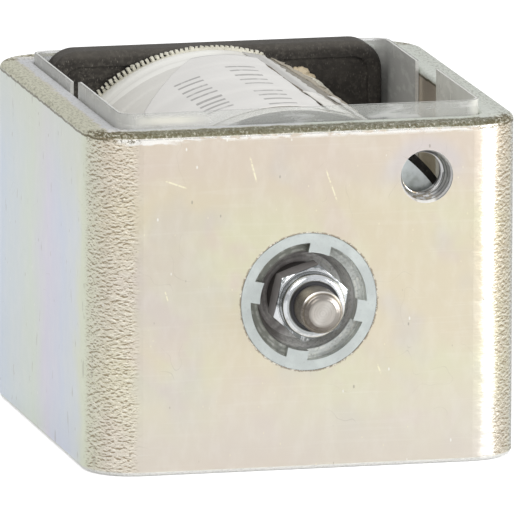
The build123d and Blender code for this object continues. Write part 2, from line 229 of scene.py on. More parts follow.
# Frame: zinc with a pale passivated film, crazed where the strip was bent and grey where it was cut
def passivatedZinc():
    look = dict(
        beige=(0.76, 0.69, 0.54), pink=(0.745, 0.655, 0.575), green=(0.755, 0.73, 0.555),
        lilac=(0.62, 0.60, 0.65), rimGrey=(0.70, 0.69, 0.55), rimLilac=(0.71, 0.715, 0.72),
        rimPale=(0.86, 0.86, 0.84), rimCool=(0.71, 0.735, 0.67), low=(0.76, 0.70, 0.635), crumb=(0.95, 0.90, 0.68),
        shade=(0.945, 0.935, 0.905), craze=(0.30, 0.235, 0.14), cream=(0.92, 0.88, 0.77), fleck=(0.97, 0.96, 0.92),
        nick=(0.34, 0.30, 0.24), rimCraze=(0.17, 0.145, 0.08), rimBrown=(0.18, 0.17, 0.10),
        seam=(0.30, 0.24, 0.18), lip=(0.86, 0.83, 0.80), edgeGrey=(0.45, 0.475, 0.485), lime=(0.76, 0.785, 0.66),
        marks=(
            (-7.05, 37.05, -6.17, 33.8, 0.14), (1.85, 35.4, 3.39, 31.1, 0.12), (-17.2, 34.6, -14.3, 33.5, 0.13),
            (8.16, 12.1, 8.64, 10.7, 0.14), (-17.0, 21.7, -16.6, 20.4, 0.10), (15.5, 36.1, 15.9, 35.3, 0.08),
        ),
        crazeDepth=0.06, grainDepth=0.05, scratchDepth=0.003, swellDepth=0.10,
        sideStops=(
            (0.0, (0.80, 0.83, 0.67)), (0.09, (0.76, 0.80, 0.82)), (0.24, (0.725, 0.77, 0.87)),
            (0.42, (0.78, 0.755, 0.85)), (0.62, (0.76, 0.82, 0.735)), (0.80, (0.745, 0.80, 0.80)),
            (1.0, (0.70, 0.78, 0.87)),
        ),
    )
    f = Finish("passivatedZinc")
    broad = f.noise(0.06, 3, 0.5, shift=(3.1, 0.0, 7.7))
    second = f.noise(0.11, 3, 0.55, shift=(31.0, 5.0, 2.0))
    fine = f.noise(0.6, 3, 0.6, stretch=(1.0, 1.0, 0.5))
    # Front and rear faces: lilac under the top edge, beige below, with soft clouds
    high = f.step(f.z + (broad - 0.5) * 14.0, frameHigh.z - 10.5, frameHigh.z - 4.0)
    colour = f.mix(f.step(broad, 0.44, 0.62), look["beige"], look["green"])
    colour = f.mix(f.step(second, 0.50, 0.64, 0.0, 0.75), colour, look["pink"])
    colour = f.mix(high * 0.8, colour, look["pink"])
    spots = f.step(f.noise(0.12, 2, 0.5, shift=(2.0, 7.0, 1.0)), 0.50, 0.72)
    leftPatch = f.step(f.x + (second - 0.5) * 12.0, -9.0, -15.0) * f.step(abs(f.z - 22.0), 10.0, 3.0)
    colour = f.mix((spots * 0.30).top(leftPatch * 0.28), colour, look["lilac"])
    colour = f.mix(f.step(f.z + (broad - 0.5) * 12.0, 14.0, 2.0, 0.0, 0.85), colour, look["low"])
    colour = f.mix(f.step(f.z, 7.0, 31.0), colour, look["shade"], "MULTIPLY")
    # Side faces: bands of blue, green and lilac along the strip
    along = (f.y - frameLow.y - bend) / (frameHigh.y - frameLow.y - 2 * bend)
    bands = f.node("ShaderNodeValToRGB", {"stops": look["sideStops"]}, {0: along + (second - 0.5) * 0.3})
    side = f.step(abs(f.x), halfWidth - 2.2, halfWidth - 0.2)
    tinted = f.mix(f.step(f.z + (broad - 0.5) * 16.0, frameHigh.z - 14.0, frameHigh.z, 0.0, 0.7), Val(f, bands.outputs[0]), look["lime"])
    colour = f.mix(side, colour, tinted)
    colour = f.mix(f.step(fine, 0.42, 0.70, 0.0, 0.10), colour, look["fleck"])
    # Bends and cut rims. The right bends are crazed only on their outer half.
    offY = abs(f.y - frameMidY)
    sideIn = abs(f.x) - (halfWidth - bend)
    endIn = offY - (halfDepth - bend)
    right = f.step(f.x, -1.0, 1.0)
    startAt = 0.5 + right * 1.85
    corner = f.step(sideIn - startAt + (fine - 0.5) * 1.6, -0.3, 1.2) * f.step(endIn, 1.0, 2.6)
    upper = f.step(f.z, frameHigh.z - 0.62, frameHigh.z - 0.42)
    lower = f.step(f.z, frameLow.z + 0.62, frameLow.z + 0.42)
    rim = upper.top(lower)
    edge = f.step(f.z, frameHigh.z - 1.25, frameHigh.z - 0.75) * (1.0 - upper)
    fromEdge = (halfWidth - abs(f.x)).low(halfDepth - offY)
    outerRim = f.step(fromEdge + (fine - 0.5) * 1.8, 2.7, 1.8)
    ends = f.step(offY, halfDepth - 3.6, halfDepth - 2.6) * f.step(f.y, frameMidY, frameMidY - 1.0) * upper
    # Crazing: short wavy wrinkles across the bend, with brown painted shade below each wrinkle and cream painted
    # highlight above it
    wave = f.emboss(1.75, 0.115, (1.0, 1.0, 1.85), (9.0, 2.0, 4.0))
    dark = f.step(wave, 0.03, 0.12)
    light = f.step(wave, -0.03, -0.13)
    # Swells that ripple the reflections along the bends
    swell = f.noise(0.62, 2, 0.55, stretch=(0.8, 0.8, 1.5), shift=(1.0, 8.0, 2.0))
    onBend = f.step(sideIn, -0.8, 0.8) * f.step(endIn, -0.8, 0.8)
    rimWave = f.noise(3.6, 4, 0.65, stretch=(1.0, 0.35, 1.0)) - 0.5
    rimDark = f.step(rimWave, 0.01, 0.08)
    rimLight = f.step(rimWave, -0.05, -0.14)
    lipZ = f.z - frameHigh.z + (fine - 0.5) * 0.5
    lipLine = f.step(lipZ, -0.86, -0.76) * f.step(lipZ, -0.50, -0.60)
    lipLine = lipLine * f.step(f.noise(0.9, 2, 0.5), 0.26, 0.40, 0.45, 1.0)
    lipLine = lipLine * f.step(endIn, 4.5, 3.0).top(f.step(sideIn, 3.0, 4.5))
    crumple = f.step(abs(f.noise(1.5, 2, 0.6, stretch=(1.0, 0.5, 1.1)) - 0.5), 0.06, 0.02)
    crumple = crumple * f.step(sideIn, 0.0, 1.0) * f.step(endIn, 0.8, 2.2) * (edge.top(upper * outerRim))
    colour = f.mix(corner * 0.30, colour, look["beige"])
    colour = f.mix(corner * right * 0.32, colour, look["craze"])
    colour = f.mix(corner * right * f.step(sideIn, 4.7, 5.5) * 0.8, colour, look["edgeGrey"])
    # Painted highlight: a whitened band on the inner half of the right bends
    bendHighlight = f.step(sideIn + (fine - 0.5) * 0.9, 0.75, 1.5) * f.step(sideIn + (fine - 0.5) * 1.2, 2.9, 2.3)
    colour = f.mix(bendHighlight * right * f.step(endIn, 0.0, 1.0) * 0.60, colour, look["fleck"])
    colour = f.mix(rim * (1.0 - outerRim), colour, look["rimLilac"])
    colour = f.mix(rim * outerRim, colour, look["rimGrey"])
    colour = f.mix(rim * right, colour, look["rimCool"])
    colour = f.mix(rim * outerRim * ends * 0.85, colour, look["rimBrown"])
    # Painted shade under each crazed wrinkle and painted highlight over it
    colour = f.mix(dark * corner * 0.85, colour, look["craze"])
    colour = f.mix(light * corner * 0.70, colour, look["cream"])
    colour = f.mix(lower, colour, look["rimPale"])
    marks = outerRim * (upper + lower * 0.35)
    colour = f.mix(rimDark * (marks * (0.34 + ends * 0.60)).top(upper * 0.16), colour, look["rimCraze"])
    colour = f.mix(rimLight * marks * (0.35 + ends * 0.20), colour, look["cream"])
    colour = f.mix(lipLine * 0.9, colour, look["rimCraze"])
    # Painted highlight along the rounded top edge of the front and rear faces, broken by noise and widest near the
    # left corners
    faceEnd = f.step(endIn, 2.4, 3.8) * f.step(sideIn, 3.6, 2.4)
    glint = edge * f.step(f.noise(0.55, 3, 0.6, stretch=(1.0, 1.0, 3.0)), 0.40, 0.52) * faceEnd
    corners = f.step(f.x, -14.5, -17.5) * f.step(sideIn, 2.6, 1.4) * faceEnd
    glint = glint.top(corners * f.step(f.z + (fine - 0.5) * 0.8, frameHigh.z - 1.35, frameHigh.z - 1.15) * (1.0 - upper))
    colour = f.mix(glint * 0.85, colour, look["fleck"])
    colour = f.mix(crumple * 0.9, colour, look["rimCraze"])
    # Tapped hole: burrs with painted shade along its lower left edge, thread turns on its wall painted dark on the
    # right as painted shade in the grooves, and painted highlights on its mouth
    holeX, holeZ = f.x - tapping["x"], f.z - (axisZ + tapping["z"])
    holeRadius = (holeX * holeX + holeZ * holeZ) ** 0.5
    front = f.step(f.y, frameMidY, frameMidY - 1.0)
    halo = f.step(holeRadius, 5.6, 3.6) * f.step(holeZ, -1.5, 2.0) * front
    colour = f.mix(halo * 0.45, colour, look["lilac"])
    inHole = f.step(holeRadius, 3.14, 3.08) * front
    burrs = inHole * f.step(f.noise(1.7, 3, 0.6, shift=(3.0, 3.0, 3.0)), 0.46, 0.54)
    turns = ((f.y * (2 * math.pi / tapping["pitch"])) + holeZ * 0.4).sine()
    mouth = inHole * f.step(f.y, frontY + 0.75, frontY + 0.45)
    colour = f.mix(inHole, colour, grey(0.70))
    # Painted shade: burrs darkened along the lower left edge only
    colour = f.mix(burrs * f.step(holeX + holeZ, 0.5, -2.5) * 0.85, colour, look["craze"])
    # Painted shade in the thread grooves, on the right of the wall only
    colour = f.mix(inHole * f.step(turns, 0.2, 0.7) * f.step(holeX, -1.0, 1.0) * 0.7, colour, grey(0.16))
    # Painted highlights: a pale line on the upper left of the mouth and a white patch at its bottom
    colour = f.mix(mouth * f.step(holeX - holeZ, 2.5, 0.5), colour, look["lip"])
    colour = f.mix(mouth * f.step(holeZ, -1.8, -2.3) * f.step(abs(holeX), 1.4, 0.9), colour, look["fleck"])
    # The staked ring's seam: a ragged brown line with bright crumbs
    fromPole = (f.x * f.x + (f.z - axisZ) * (f.z - axisZ)) ** 0.5
    seam = f.step(fromPole + (f.noise(1.8, 3, 0.6) - 0.5) * 0.5, 8.27, 8.11) * front
    crumbs = f.step(f.noise(2.6, 2, 0.5, shift=(7.0, 0.0, 0.0)), 0.54, 0.62)
    colour = f.mix(seam * 0.8, colour, look["seam"])
    colour = f.mix(seam * crumbs * 0.8, colour, look["cream"])
    # Handling marks
    scratch = f.step(f.noise(2.2, 2, 0.4, stretch=(0.035, 0.035, 1.0)), 0.60, 0.68)
    drawn = 0.0
    for startX, startZ, endX, endZ, half in look["marks"]:
        length = math.hypot(endX - startX, endZ - startZ)
        unitX, unitZ = (endX - startX) / length, (endZ - startZ) / length
        fromX, fromZ = f.x - (startX + endX) / 2, f.z - (startZ + endZ) / 2
        reach = f.step(abs(fromX * unitX + fromZ * unitZ), length / 2, length * 0.3)
        drawn = (f.step(abs(fromX * unitZ - fromZ * unitX), half, half * 0.4) * reach).top(drawn)
    drawn = drawn * f.step(f.noise(2.5, 2, 0.6), 0.36, 0.52) * front
    grains = f.step(f.cells(0.6, stretch=(1.5, 1.5, 0.9), shift=(1.0, 5.0, 9.0)), 0.085, 0.045)
    grains = grains * f.step(f.noise(0.2, 2, 0.5, shift=(8.0, 8.0, 0.0)), 0.44, 0.56)
    scuff = f.step(f.noise(0.8, 2, 0.4, stretch=(0.07, 1.0, 1.6), shift=(5.0, 1.0, 9.0)), 0.67, 0.72)
    flecks = f.step(f.cells(0.27, stretch=(1.8, 1.8, 0.9), shift=(0.0, 0.0, 3.0)), 0.065, 0.030)
    nicks = f.step(f.cells(0.22, stretch=(2.0, 2.0, 1.0), shift=(7.0, 3.0, 5.0)), 0.060, 0.030)
    hairs = f.step(abs(f.noise(0.25, 1, 0.3, shift=(6.0, 2.0, 1.0)) - 0.5), 0.0028, 0.001)
    hairs = hairs * f.step(f.noise(0.18, 1, 0.3, shift=(1.0, 9.0, 4.0)), 0.58, 0.62)
    colour = f.mix((scratch + scuff) * 0.05 + flecks * 0.75, colour, look["fleck"])
    colour = f.mix(drawn * 0.85 + grains * 0.45, colour, look["crumb"])
    bruises = f.step(f.noise(0.8, 3, 0.6, stretch=(1.0, 1.0, 0.35), shift=(4.0, 4.0, 4.0)), 0.655, 0.70) * side
    colour = f.mix(nicks * 0.6 + hairs * 0.22 + bruises * 0.35, colour, look["nick"])
    shine = 0.27 + f.noise(0.7, 3, 0.6) * 0.10 + corner * 0.08 + rim * 0.20 - glint * 0.12
    normal = f.bump((swell - 0.5) * onBend * (1.0 - right * 0.30), look["swellDepth"])
    normal = f.bump((light - dark) * corner * 0.5, look["crazeDepth"], normal)
    normal = f.bump((rimLight - rimDark) * marks + f.noise(1.3, 2, 0.5) * rim, look["grainDepth"], normal)
    normal = f.bump(f.noise(0.5, 2, 0.5), 0.02, normal)
    normal = f.bump(scratch + scuff - nicks + f.noise(5.0, 2, 0.6) * 0.6, look["scratchDepth"], normal)
    return f.surface(Base_Color=colour, Metallic=0.88 - mouth * 0.6, Roughness=shine, Normal=normal)


# Pole: pale turned zinc in front, grey-green stake pockets and a dull brown recess behind them, both painted dark on
# their upper left as painted shade and pale on their lower right as painted light
def poleZinc():
    look = dict(
        face=(0.575, 0.615, 0.60), streak=(0.64, 0.685, 0.665), pocketShade=(0.20, 0.205, 0.18), pale=(0.60, 0.625, 0.60),
        recessShade=(0.36, 0.33, 0.32), recessLit=(0.90, 0.91, 0.89), bright=(0.80, 0.80, 0.74), marksPerMm=2.1,
    )
    f = Finish("poleZinc")
    radial = ((f.x * f.x) + (f.z - axisZ) * (f.z - axisZ)) ** 0.5
    front = f.step(f.y, frameMidY, frameMidY - 1.0)
    sunk = f.step(f.y, frontY + 0.15, frontY + 0.5) * front
    below = f.step(f.y, frontY + 1.25, frontY + 1.9) * f.step(radial, 5.95, 5.75) * front
    rings = ((radial + f.y) * (look["marksPerMm"] * 2 * math.pi)).sine() * 0.5 + 0.5
    cloud = f.noise(0.5, 3, 0.6, shift=(2.0, 8.0, 5.0))
    grain = f.noise(3.0, 3, 0.6)
    sweep = f.noise(1.1, 2, 0.5, shift=(4.0, 0.0, 1.0))
    colour = f.mix(f.step(cloud, 0.38, 0.66), look["face"], look["streak"])
    colour = f.mix(f.step(grain, 0.55, 0.75, 0.0, 0.30), colour, grey(0.42))
    # Painted light: pockets and recess shaded on the upper left and lit on the lower right
    lit = f.step(f.x - (f.z - axisZ) * 0.45 + (sweep - 0.5) * 6.0, -3.5, 4.5)
    colour = f.mix(sunk, colour, f.mix(lit, look["pocketShade"], look["pale"]))
    colour = f.mix(below, colour, f.mix(lit, look["recessShade"], look["recessLit"]))
    # Turned rings on the pockets, brightened most on the lit side as painted highlight
    colour = f.mix(sunk * rings * f.step(sweep, 0.42, 0.6) * (0.25 + lit * 0.6), colour, look["bright"])
    colour = f.mix(sunk * f.step(grain, 0.52, 0.62) * 0.35, colour, look["pocketShade"])
    lip = f.step(f.y, frontY + 0.30, frontY + 0.10) * f.step(f.y, frontY + 0.01, frontY + 0.05) * front
    colour = f.mix(lip * f.step(grain, 0.45, 0.6) * 0.6, colour, look["bright"])
    metal = 0.92 - (below * 0.72).top(sunk * lit * 0.6)
    normal = f.bump(rings * sunk + grain * 0.35, 0.02)
    return f.surface(Base_Color=colour, Metallic=metal, Roughness=0.30 + cloud * 0.10 + sunk * 0.06, Normal=normal)


# Lock nut: bright collar with painted shade in its mouth, its inner ring and round its rim, and a hexagon painted
# darker as painted shade, with the streaks of its bar stock and painted highlights on its left, above the collar and
# in a sliver on its lower left
def nutZinc():
    look = dict(bright=(0.84, 0.86, 0.88), dull=(0.42, 0.44, 0.44), stain=(0.10, 0.10, 0.085), hexagon=(0.22, 0.235, 0.235), flank=(0.32, 0.295, 0.285))
    f = Finish("nutZinc")
    radial = ((f.x * f.x) + (f.z - axisZ) * (f.z - axisZ)) ** 0.5
    hexagon = f.step(radial, 3.72, 3.86)
    mouth = f.step(radial, 3.05, 2.95)
    sweep = f.noise(0.9, 3, 0.6, shift=(1.0, 2.0, 6.0))
    rings = (radial * (2 * math.pi * 5.0)).sine() * 0.5 + 0.5
    upRight = f.step(f.x + (f.z - axisZ) + (sweep - 0.5) * 2.0, 1.2, 3.4)
    sliverHighlight = f.step(f.x, -3.1, -3.5) * f.step(f.z - axisZ, 0.2, -0.4)
    inner = f.step(radial, 3.34, 3.22)
    # Painted shade: the collar's inner ring is dulled except on its upper right
    colour = f.mix(inner * (1.0 - upRight * 0.8) * 0.8, look["bright"], look["dull"])
    colour = f.mix(f.step(sweep, 0.52, 0.62, 0.0, 0.5), colour, look["dull"])
    # Painted shade: a dark line round the collar where it meets the hexagon
    colour = f.mix(f.step(abs(radial - 3.72), 0.10, 0.04) * 0.8, colour, look["stain"])
    streaks = f.step(f.noise(1.3, 4, 0.65, stretch=(1.6, 0.4, 0.8)), 0.47, 0.60)
    # The hexagon is painted darker as painted shade
    colour = f.mix(hexagon, colour, look["hexagon"])
    # Painted highlights: bright streaks on the left, a bright band above the collar and a bright sliver on the lower
    # left
    near = f.step(radial + (sweep - 0.5) * 1.6, 4.35, 3.95) * f.step(f.z - axisZ + f.x * 0.3, -1.0, 1.0)
    colour = f.mix(hexagon * (streaks * f.step(f.x, 2.0, -1.0) * 0.7).top(near * 0.75), colour, look["bright"])
    colour = f.mix(hexagon * sliverHighlight, colour, look["bright"])
    flank = hexagon * f.step(f.y, frontY - 0.92, frontY - 0.72)
    colour = f.mix(flank * 0.9, colour, look["flank"])
    # Painted shade inside the mouth
    colour = f.mix(mouth * 0.9, colour, look["stain"])
    normal = f.bump(rings * 0.3 + sweep, 0.02)
    shine = 0.13 + sweep * 0.10 + hexagon * 0.06 + flank * 0.2
    return f.surface(Base_Color=colour, Metallic=0.96 - flank * 0.6, Roughness=shine, Normal=normal)


# Rod: turned rings along its side and faint ones on its end, with painted shade on its lower left side, chamfer,
# neck and groove, and painted highlights on its shoulder and end
def turnedRod():
    look = dict(tone=(0.54, 0.505, 0.46), dark=(0.16, 0.14, 0.12), glint=(0.92, 0.90, 0.86), perMm=2.3)
    f = Finish("turnedRod")
    radial = ((f.x * f.x) + (f.z - axisZ) * (f.z - axisZ)) ** 0.5
    tip = f.step(f.y, rodLow.y + 0.08, rodLow.y + 0.03)
    neck = f.step(f.y, rodLow.y + 0.92, rodLow.y + 0.70) * (1.0 - tip)
    grooves = (f.y * (2 * math.pi * look["perMm"])).sine() * 0.5 + 0.5
    swirl = (radial * (2 * math.pi * 3.2)).sine() * 0.5 + 0.5
    grain = f.noise(2.2, 3, 0.6)
    lines = grooves * (1.0 - tip) + swirl * tip * 0.4
    lit = f.step(f.x + (f.z - axisZ) * 0.5 + (grain - 0.5) * 1.5, -1.8, 0.9)
    colour = f.mix(f.step(lines * 0.6 + grain * 0.6, 0.40, 0.75) * (0.75 - tip * 0.45), look["tone"], look["dark"])
    specks = f.step(f.noise(2.8, 3, 0.65, shift=(5.0, 1.0, 0.0)), 0.44, 0.60)
    # Painted shade on the lower left of the side, mixed with dark specks
    colour = f.mix((1.0 - tip) * (1.0 - lit) * (0.35 + specks * 0.55), colour, look["dark"])
    ridges = f.step(grooves, 0.30, 0.12) * (1.0 - tip) * f.step(f.y, rodLow.y + 0.9, rodLow.y + 1.1)
    # Turned ridges, chamfer and neck darkened, most on the shaded side, as painted shade
    colour = f.mix(ridges * (0.75 - lit * 0.35), colour, look["dark"])
    chamfer = f.step(f.y, rodLow.y + 0.26, rodLow.y + 0.20) * (1.0 - tip)
    colour = f.mix(chamfer * (0.55 + (1.0 - lit) * 0.3), colour, look["dark"])
    colour = f.mix(neck * (1.0 - chamfer) * (1.0 - lit) * 0.5, colour, look["dark"])
    # Painted shade in the groove behind the neck
    colour = f.mix(f.step(abs(f.y - (rodLow.y + 0.98)), 0.10, 0.03) * 0.7, colour, look["dark"])
    # Painted highlight on top of the shoulder
    shoulder = f.step(abs(f.y - (rodLow.y + 0.62)), 0.16, 0.05)
    colour = f.mix(shoulder * f.step(f.z - axisZ, 0.8, 1.6) * 0.8, colour, look["glint"])
    # Painted sheen across the end
    sheen = f.step(abs(f.x - (f.z - axisZ) * 0.6), 0.9, 0.1)
    colour = f.mix(tip * sheen * 0.25, colour, look["glint"])
    colour = f.mix(tip * f.step(radial, 1.36, 1.50) * 0.45, colour, look["dark"])
    normal = f.bump(grooves * (1.0 - tip) + swirl * tip * 0.2 + grain * 0.2, 0.06)
    return f.surface(Base_Color=colour, Metallic=0.95, Roughness=0.24 + grain * 0.14, Normal=normal)


# Turned, punched and drawn metals, each with its own tool marks
def workedMetal(name, tone, dull=0.3, marks="turned", marksPerMm=9.0, depth=0.006, patina=None, blotch=0.4):
    f = Finish(name)
    radial = ((f.x * f.x) + (f.z - axisZ) * (f.z - axisZ)) ** 0.5
    if marks == "turned":
        lines = ((radial + f.y) * (marksPerMm * 2 * math.pi)).sine() * 0.5 + 0.5
        lines = lines * f.noise(1.5, 2, 0.5)
    elif marks == "drawn":
        lines = f.noise(marksPerMm, 2, 0.5, stretch=(1.0, 0.04, 1.0))
    else:
        lines = f.noise(marksPerMm * 0.3, 3, 0.6)
    stain = f.noise(0.45, 3, 0.6, shift=(2.0, 8.0, 5.0))
    dark = patina or tuple(c * 0.62 for c in tone)
    colour = f.mix(f.step(stain, 0.42, 0.72, 0.0, blotch), tone, dark)
    colour = f.mix(lines * 0.22, colour, tuple(c * 0.75 for c in tone))
    shine = dull + stain * 0.12 + lines * 0.05
    normal = f.bump(lines, depth)
    normal = f.bump(f.noise(1.1, 2, 0.5), depth * 1.5, normal)
    return f.surface(Base_Color=colour, Metallic=0.95, Roughness=shine, Normal=normal)


# Glass-filled black moulding: fine pale flecks and a soft sheen
def blackMoulding():
    look = dict(black=(0.020, 0.017, 0.014), wearAndHighlight=(0.078, 0.070, 0.058), fleck=(0.24, 0.22, 0.19))
    f = Finish("blackMoulding")
    flecks = f.step(f.cells(2.6, stretch=(1.8, 1.8, 0.7)), 0.34, 0.10) * f.step(f.noise(1.4, 2, 0.5), 0.36, 0.6)
    mottle = f.step(f.noise(1.7, 3, 0.7), 0.46, 0.66)
    flow = f.noise(0.28, 4, 0.6, stretch=(1.0, 1.0, 2.4))
    edge = f.step(f.z, flangeHigh.z - 1.4, flangeHigh.z - 0.2)
    colour = f.mix(f.step(flow, 0.4, 0.7, 0.0, 0.5), look["black"], look["wearAndHighlight"])
    colour = f.mix(mottle * 0.7, colour, look["wearAndHighlight"])
    colour = f.mix(flecks * 0.5, colour, look["fleck"])
    # Painted highlight along the top bevel
    colour = f.mix(edge * 0.55, colour, look["wearAndHighlight"])
    # Painted shade: the right part of the face darker
    colour = f.mix(f.step(f.x, 4.0, 14.0) * (1.0 - edge) * 0.5, colour, look["black"])
    shine = 0.56 + flow * 0.16
    normal = f.bump(f.noise(3.2, 3, 0.65), 0.03)
    return f.surface(Base_Color=colour, Roughness=shine, Normal=normal, Specular_IOR_Level=0.35)


# Woven white tape under a thin coat, greyer where the laps lie double
def whiteTape():
    look = dict(white=(0.77, 0.755, 0.71), lap=(0.66, 0.645, 0.60), soil=(0.55, 0.53, 0.47), pale=(0.85, 0.84, 0.79))
    f = Finish("whiteTape")
    weaveAlong = (f.y * (2 * math.pi * 2.6)).sine() * 0.5 + 0.5
    around = f.noise(3.4, 1, 0.5)
    cloud = f.noise(0.16, 3, 0.55, stretch=(1.0, 1.6, 1.0))
    laps = f.step(f.noise(0.10, 2, 0.5, stretch=(0.6, 3.2, 0.6), shift=(0.0, 4.0, 0.0)), 0.44, 0.58)
    colour = f.mix(laps * 0.5, look["white"], look["lap"])
    colour = f.mix(f.step(cloud, 0.5, 0.75, 0.0, 0.5), colour, look["soil"])
    left = f.step(f.x, 2.0, -2.0)
    lastLap = f.step(f.y - frontY + (cloud - 0.5) * 1.5, 39.0, 39.4) * left
    colour = f.mix((1.0 - lastLap) * left * 0.75, colour, look["lap"])
    colour = f.mix(lastLap * 0.9, colour, look["pale"])
    fold = f.step(abs(f.y - frontY - 41.2 + (cloud - 0.5) * 2.0), 0.5, 0.1) * left
    colour = f.mix(fold * 0.35, colour, look["lap"])
    colour = f.mix(weaveAlong * 0.06, colour, look["lap"])
    normal = f.bump(weaveAlong * 0.6 + around * 0.5, 0.018)
    normal = f.bump(cloud, 0.12, normal)
    return f.surface(Base_Color=colour, Roughness=0.42 + cloud * 0.2, Normal=normal, Specular_IOR_Level=0.5)


def paper(name, tone, shadow, fibre=0.015):
    f = Finish(name)
    pulp = f.noise(2.4, 4, 0.65)
    cloud = f.noise(0.3, 2, 0.5)
    colour = f.mix(f.step(pulp, 0.35, 0.7, 0.0, 0.45), tone, shadow)
    colour = f.mix(f.step(cloud, 0.45, 0.7, 0.0, 0.25), colour, shadow)
    return f.surface(Base_Color=colour, Roughness=0.72 + pulp * 0.12, Normal=f.bump(pulp, fibre))


# End of the tape beside the label, with a brown line of painted shadow along the label's edge
def tapeEndFinish():
    look = dict(tape=(0.50, 0.49, 0.465), shadow=(0.40, 0.39, 0.37), labelEdgeShadow=(0.13, 0.10, 0.065), pale=(0.60, 0.59, 0.56))
    f = Finish("tapeEnd")
    weave = f.noise(2.8, 3, 0.6)
    labelEdgeX = 4.29 - (f.y - frontY - 7.85) * (0.88 / 37.05)
    beside = f.x - labelEdgeX + (weave - 0.5) * 0.25
    colour = f.mix(f.step(weave, 0.35, 0.7, 0.0, 0.5), look["tape"], look["shadow"])
    colour = f.mix(f.step(beside, 1.1, 2.0), colour, look["pale"])
    # Painted shadow of the label's lifted edge: a dark brown line beside it
    along = f.step(f.y, frontY + 40.6, frontY + 40.0) * f.step(f.noise(0.7, 2, 0.5), 0.30, 0.44, 0.3, 1.0)
    colour = f.mix(f.step(beside, 0.60, 0.46) * f.step(beside, 0.0, 0.1) * along, colour, look["labelEdgeShadow"])
    return f.surface(Base_Color=colour, Roughness=0.6 + weave * 0.1, Normal=f.bump(weave, 0.03))


# Translucent film: clear on its faces, with a thin pale line along its cut edges as painted highlight, a painted
# glint at its rear corners and a painted sheen on its front left
def clearFilm():
    look = dict(face=(0.56, 0.57, 0.545), leg=(0.53, 0.53, 0.505), nearLeg=(0.69, 0.69, 0.635), sheen=(0.93, 0.90, 0.78), edge=(0.66, 0.66, 0.62), glint=(0.95, 0.95, 0.92), clear=0.25)
    f = Finish("clearFilm")
    frontTop, rearTop = (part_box(node)[1].z / mm for node in ("front_film", "rear_film"))
    top = f.step(f.y, frontY + 26.5, frontY + 27.5, frontTop, rearTop)
    cut = f.step(f.z - top, -0.06, -0.02)
    # Depth below the film's outer side, which is a rounded rectangle
    outX = abs(f.x) - (filmOuter["halfX"] - filmOuter["corner"])
    outY = abs(f.y - frameMidY) - (filmOuter["halfY"] - filmOuter["corner"])
    round_ = (outX.top(0.0) ** 2.0 + outY.top(0.0) ** 2.0) ** 0.5
    depth = filmOuter["corner"] - (round_ + outX.top(outY).low(0.0))
    # Painted highlight along the cut edges
    line = cut * f.step(depth, 0.17, 0.22)
    bare = cut * f.step(depth, 0.20, 0.15)
    haze = f.noise(0.22, 3, 0.5, stretch=(1.0, 1.0, 0.4))
    streak = f.noise(0.9, 2, 0.5, stretch=(1.0, 1.0, 0.08))
    smear = f.step(f.noise(0.30, 3, 0.6, stretch=(0.5, 1.0, 2.6), shift=(2.0, 0.0, 3.0)), 0.52, 0.66)
    # Painted glint at the rear corners
    bright = line * f.step(outX, 0.1, 0.8) * f.step(outY, 0.4, 1.2) * f.step(f.y, frameMidY, frameMidY + 1.0)
    # Painted sheen on the front left, above the rim
    sheen = f.step(abs(f.x + 15.5), 6.5, 0.5) * f.step(abs(f.z - frameHigh.z - 0.75), 0.8, 0.1) * f.step(outX, 0.4, -0.6)
    sheen = sheen * f.step(f.y, frontY + 6.0, frontY + 5.0)
    colour = f.mix(smear * 0.5, look["face"], grey(0.80))
    colour = f.mix(sheen * 0.6, colour, look["sheen"])
    colour = f.mix(line, colour, look["edge"])
    colour = f.mix(bright, colour, look["glint"])
    legs = f.step(abs(f.x), filmOuter["halfX"] - 2.0, filmOuter["halfX"] - 0.5)
    near = f.step(f.x, 0.0, 1.0) * f.step(f.y, frontY + 25.0, frontY + 24.0)
    colour = f.mix(legs * (1.0 - line), colour, f.mix(near, look["leg"], look["nearLeg"]))
    alpha = (look["clear"] + haze * 0.10 + streak * 0.04 * (1.0 - legs) + smear * 0.16 + sheen * 0.3 + legs * 0.46).top(line) - bare * 0.35
    normal = f.bump(f.noise(0.12, 2, 0.5, stretch=(1.0, 1.0, 0.5)), 0.15)
    return f.surface(Base_Color=colour, Roughness=0.20 + haze * 0.12, Alpha=alpha, Normal=normal)


def moulded(name, tone, dull, grainPerMm=2.5, depth=0.01):
    f = Finish(name)
    grain = f.noise(grainPerMm, 3, 0.6)
    cloud = f.noise(0.4, 2, 0.5)
    colour = f.mix(f.step(cloud, 0.4, 0.7, 0.0, 0.35), tone, tuple(c * 0.7 for c in tone))
    return f.surface(Base_Color=colour, Roughness=dull + grain * 0.12, Normal=f.bump(grain, depth))


# Enamelled wire, layer beside layer
def copperWinding():
    look = dict(bright=(0.72, 0.30, 0.12), dark=(0.32, 0.10, 0.04), wirePerMm=4.0)
    f = Finish("copperWinding")
    turns = (f.y * (2 * math.pi * look["wirePerMm"])).sine() * 0.5 + 0.5
    cloud = f.noise(0.5, 2, 0.5)
    colour = f.mix(turns * 0.6 + cloud * 0.3, look["dark"], look["bright"])
    return f.surface(Base_Color=colour, Metallic=0.85, Roughness=0.28 + cloud * 0.1, Normal=f.bump(turns, 0.08))


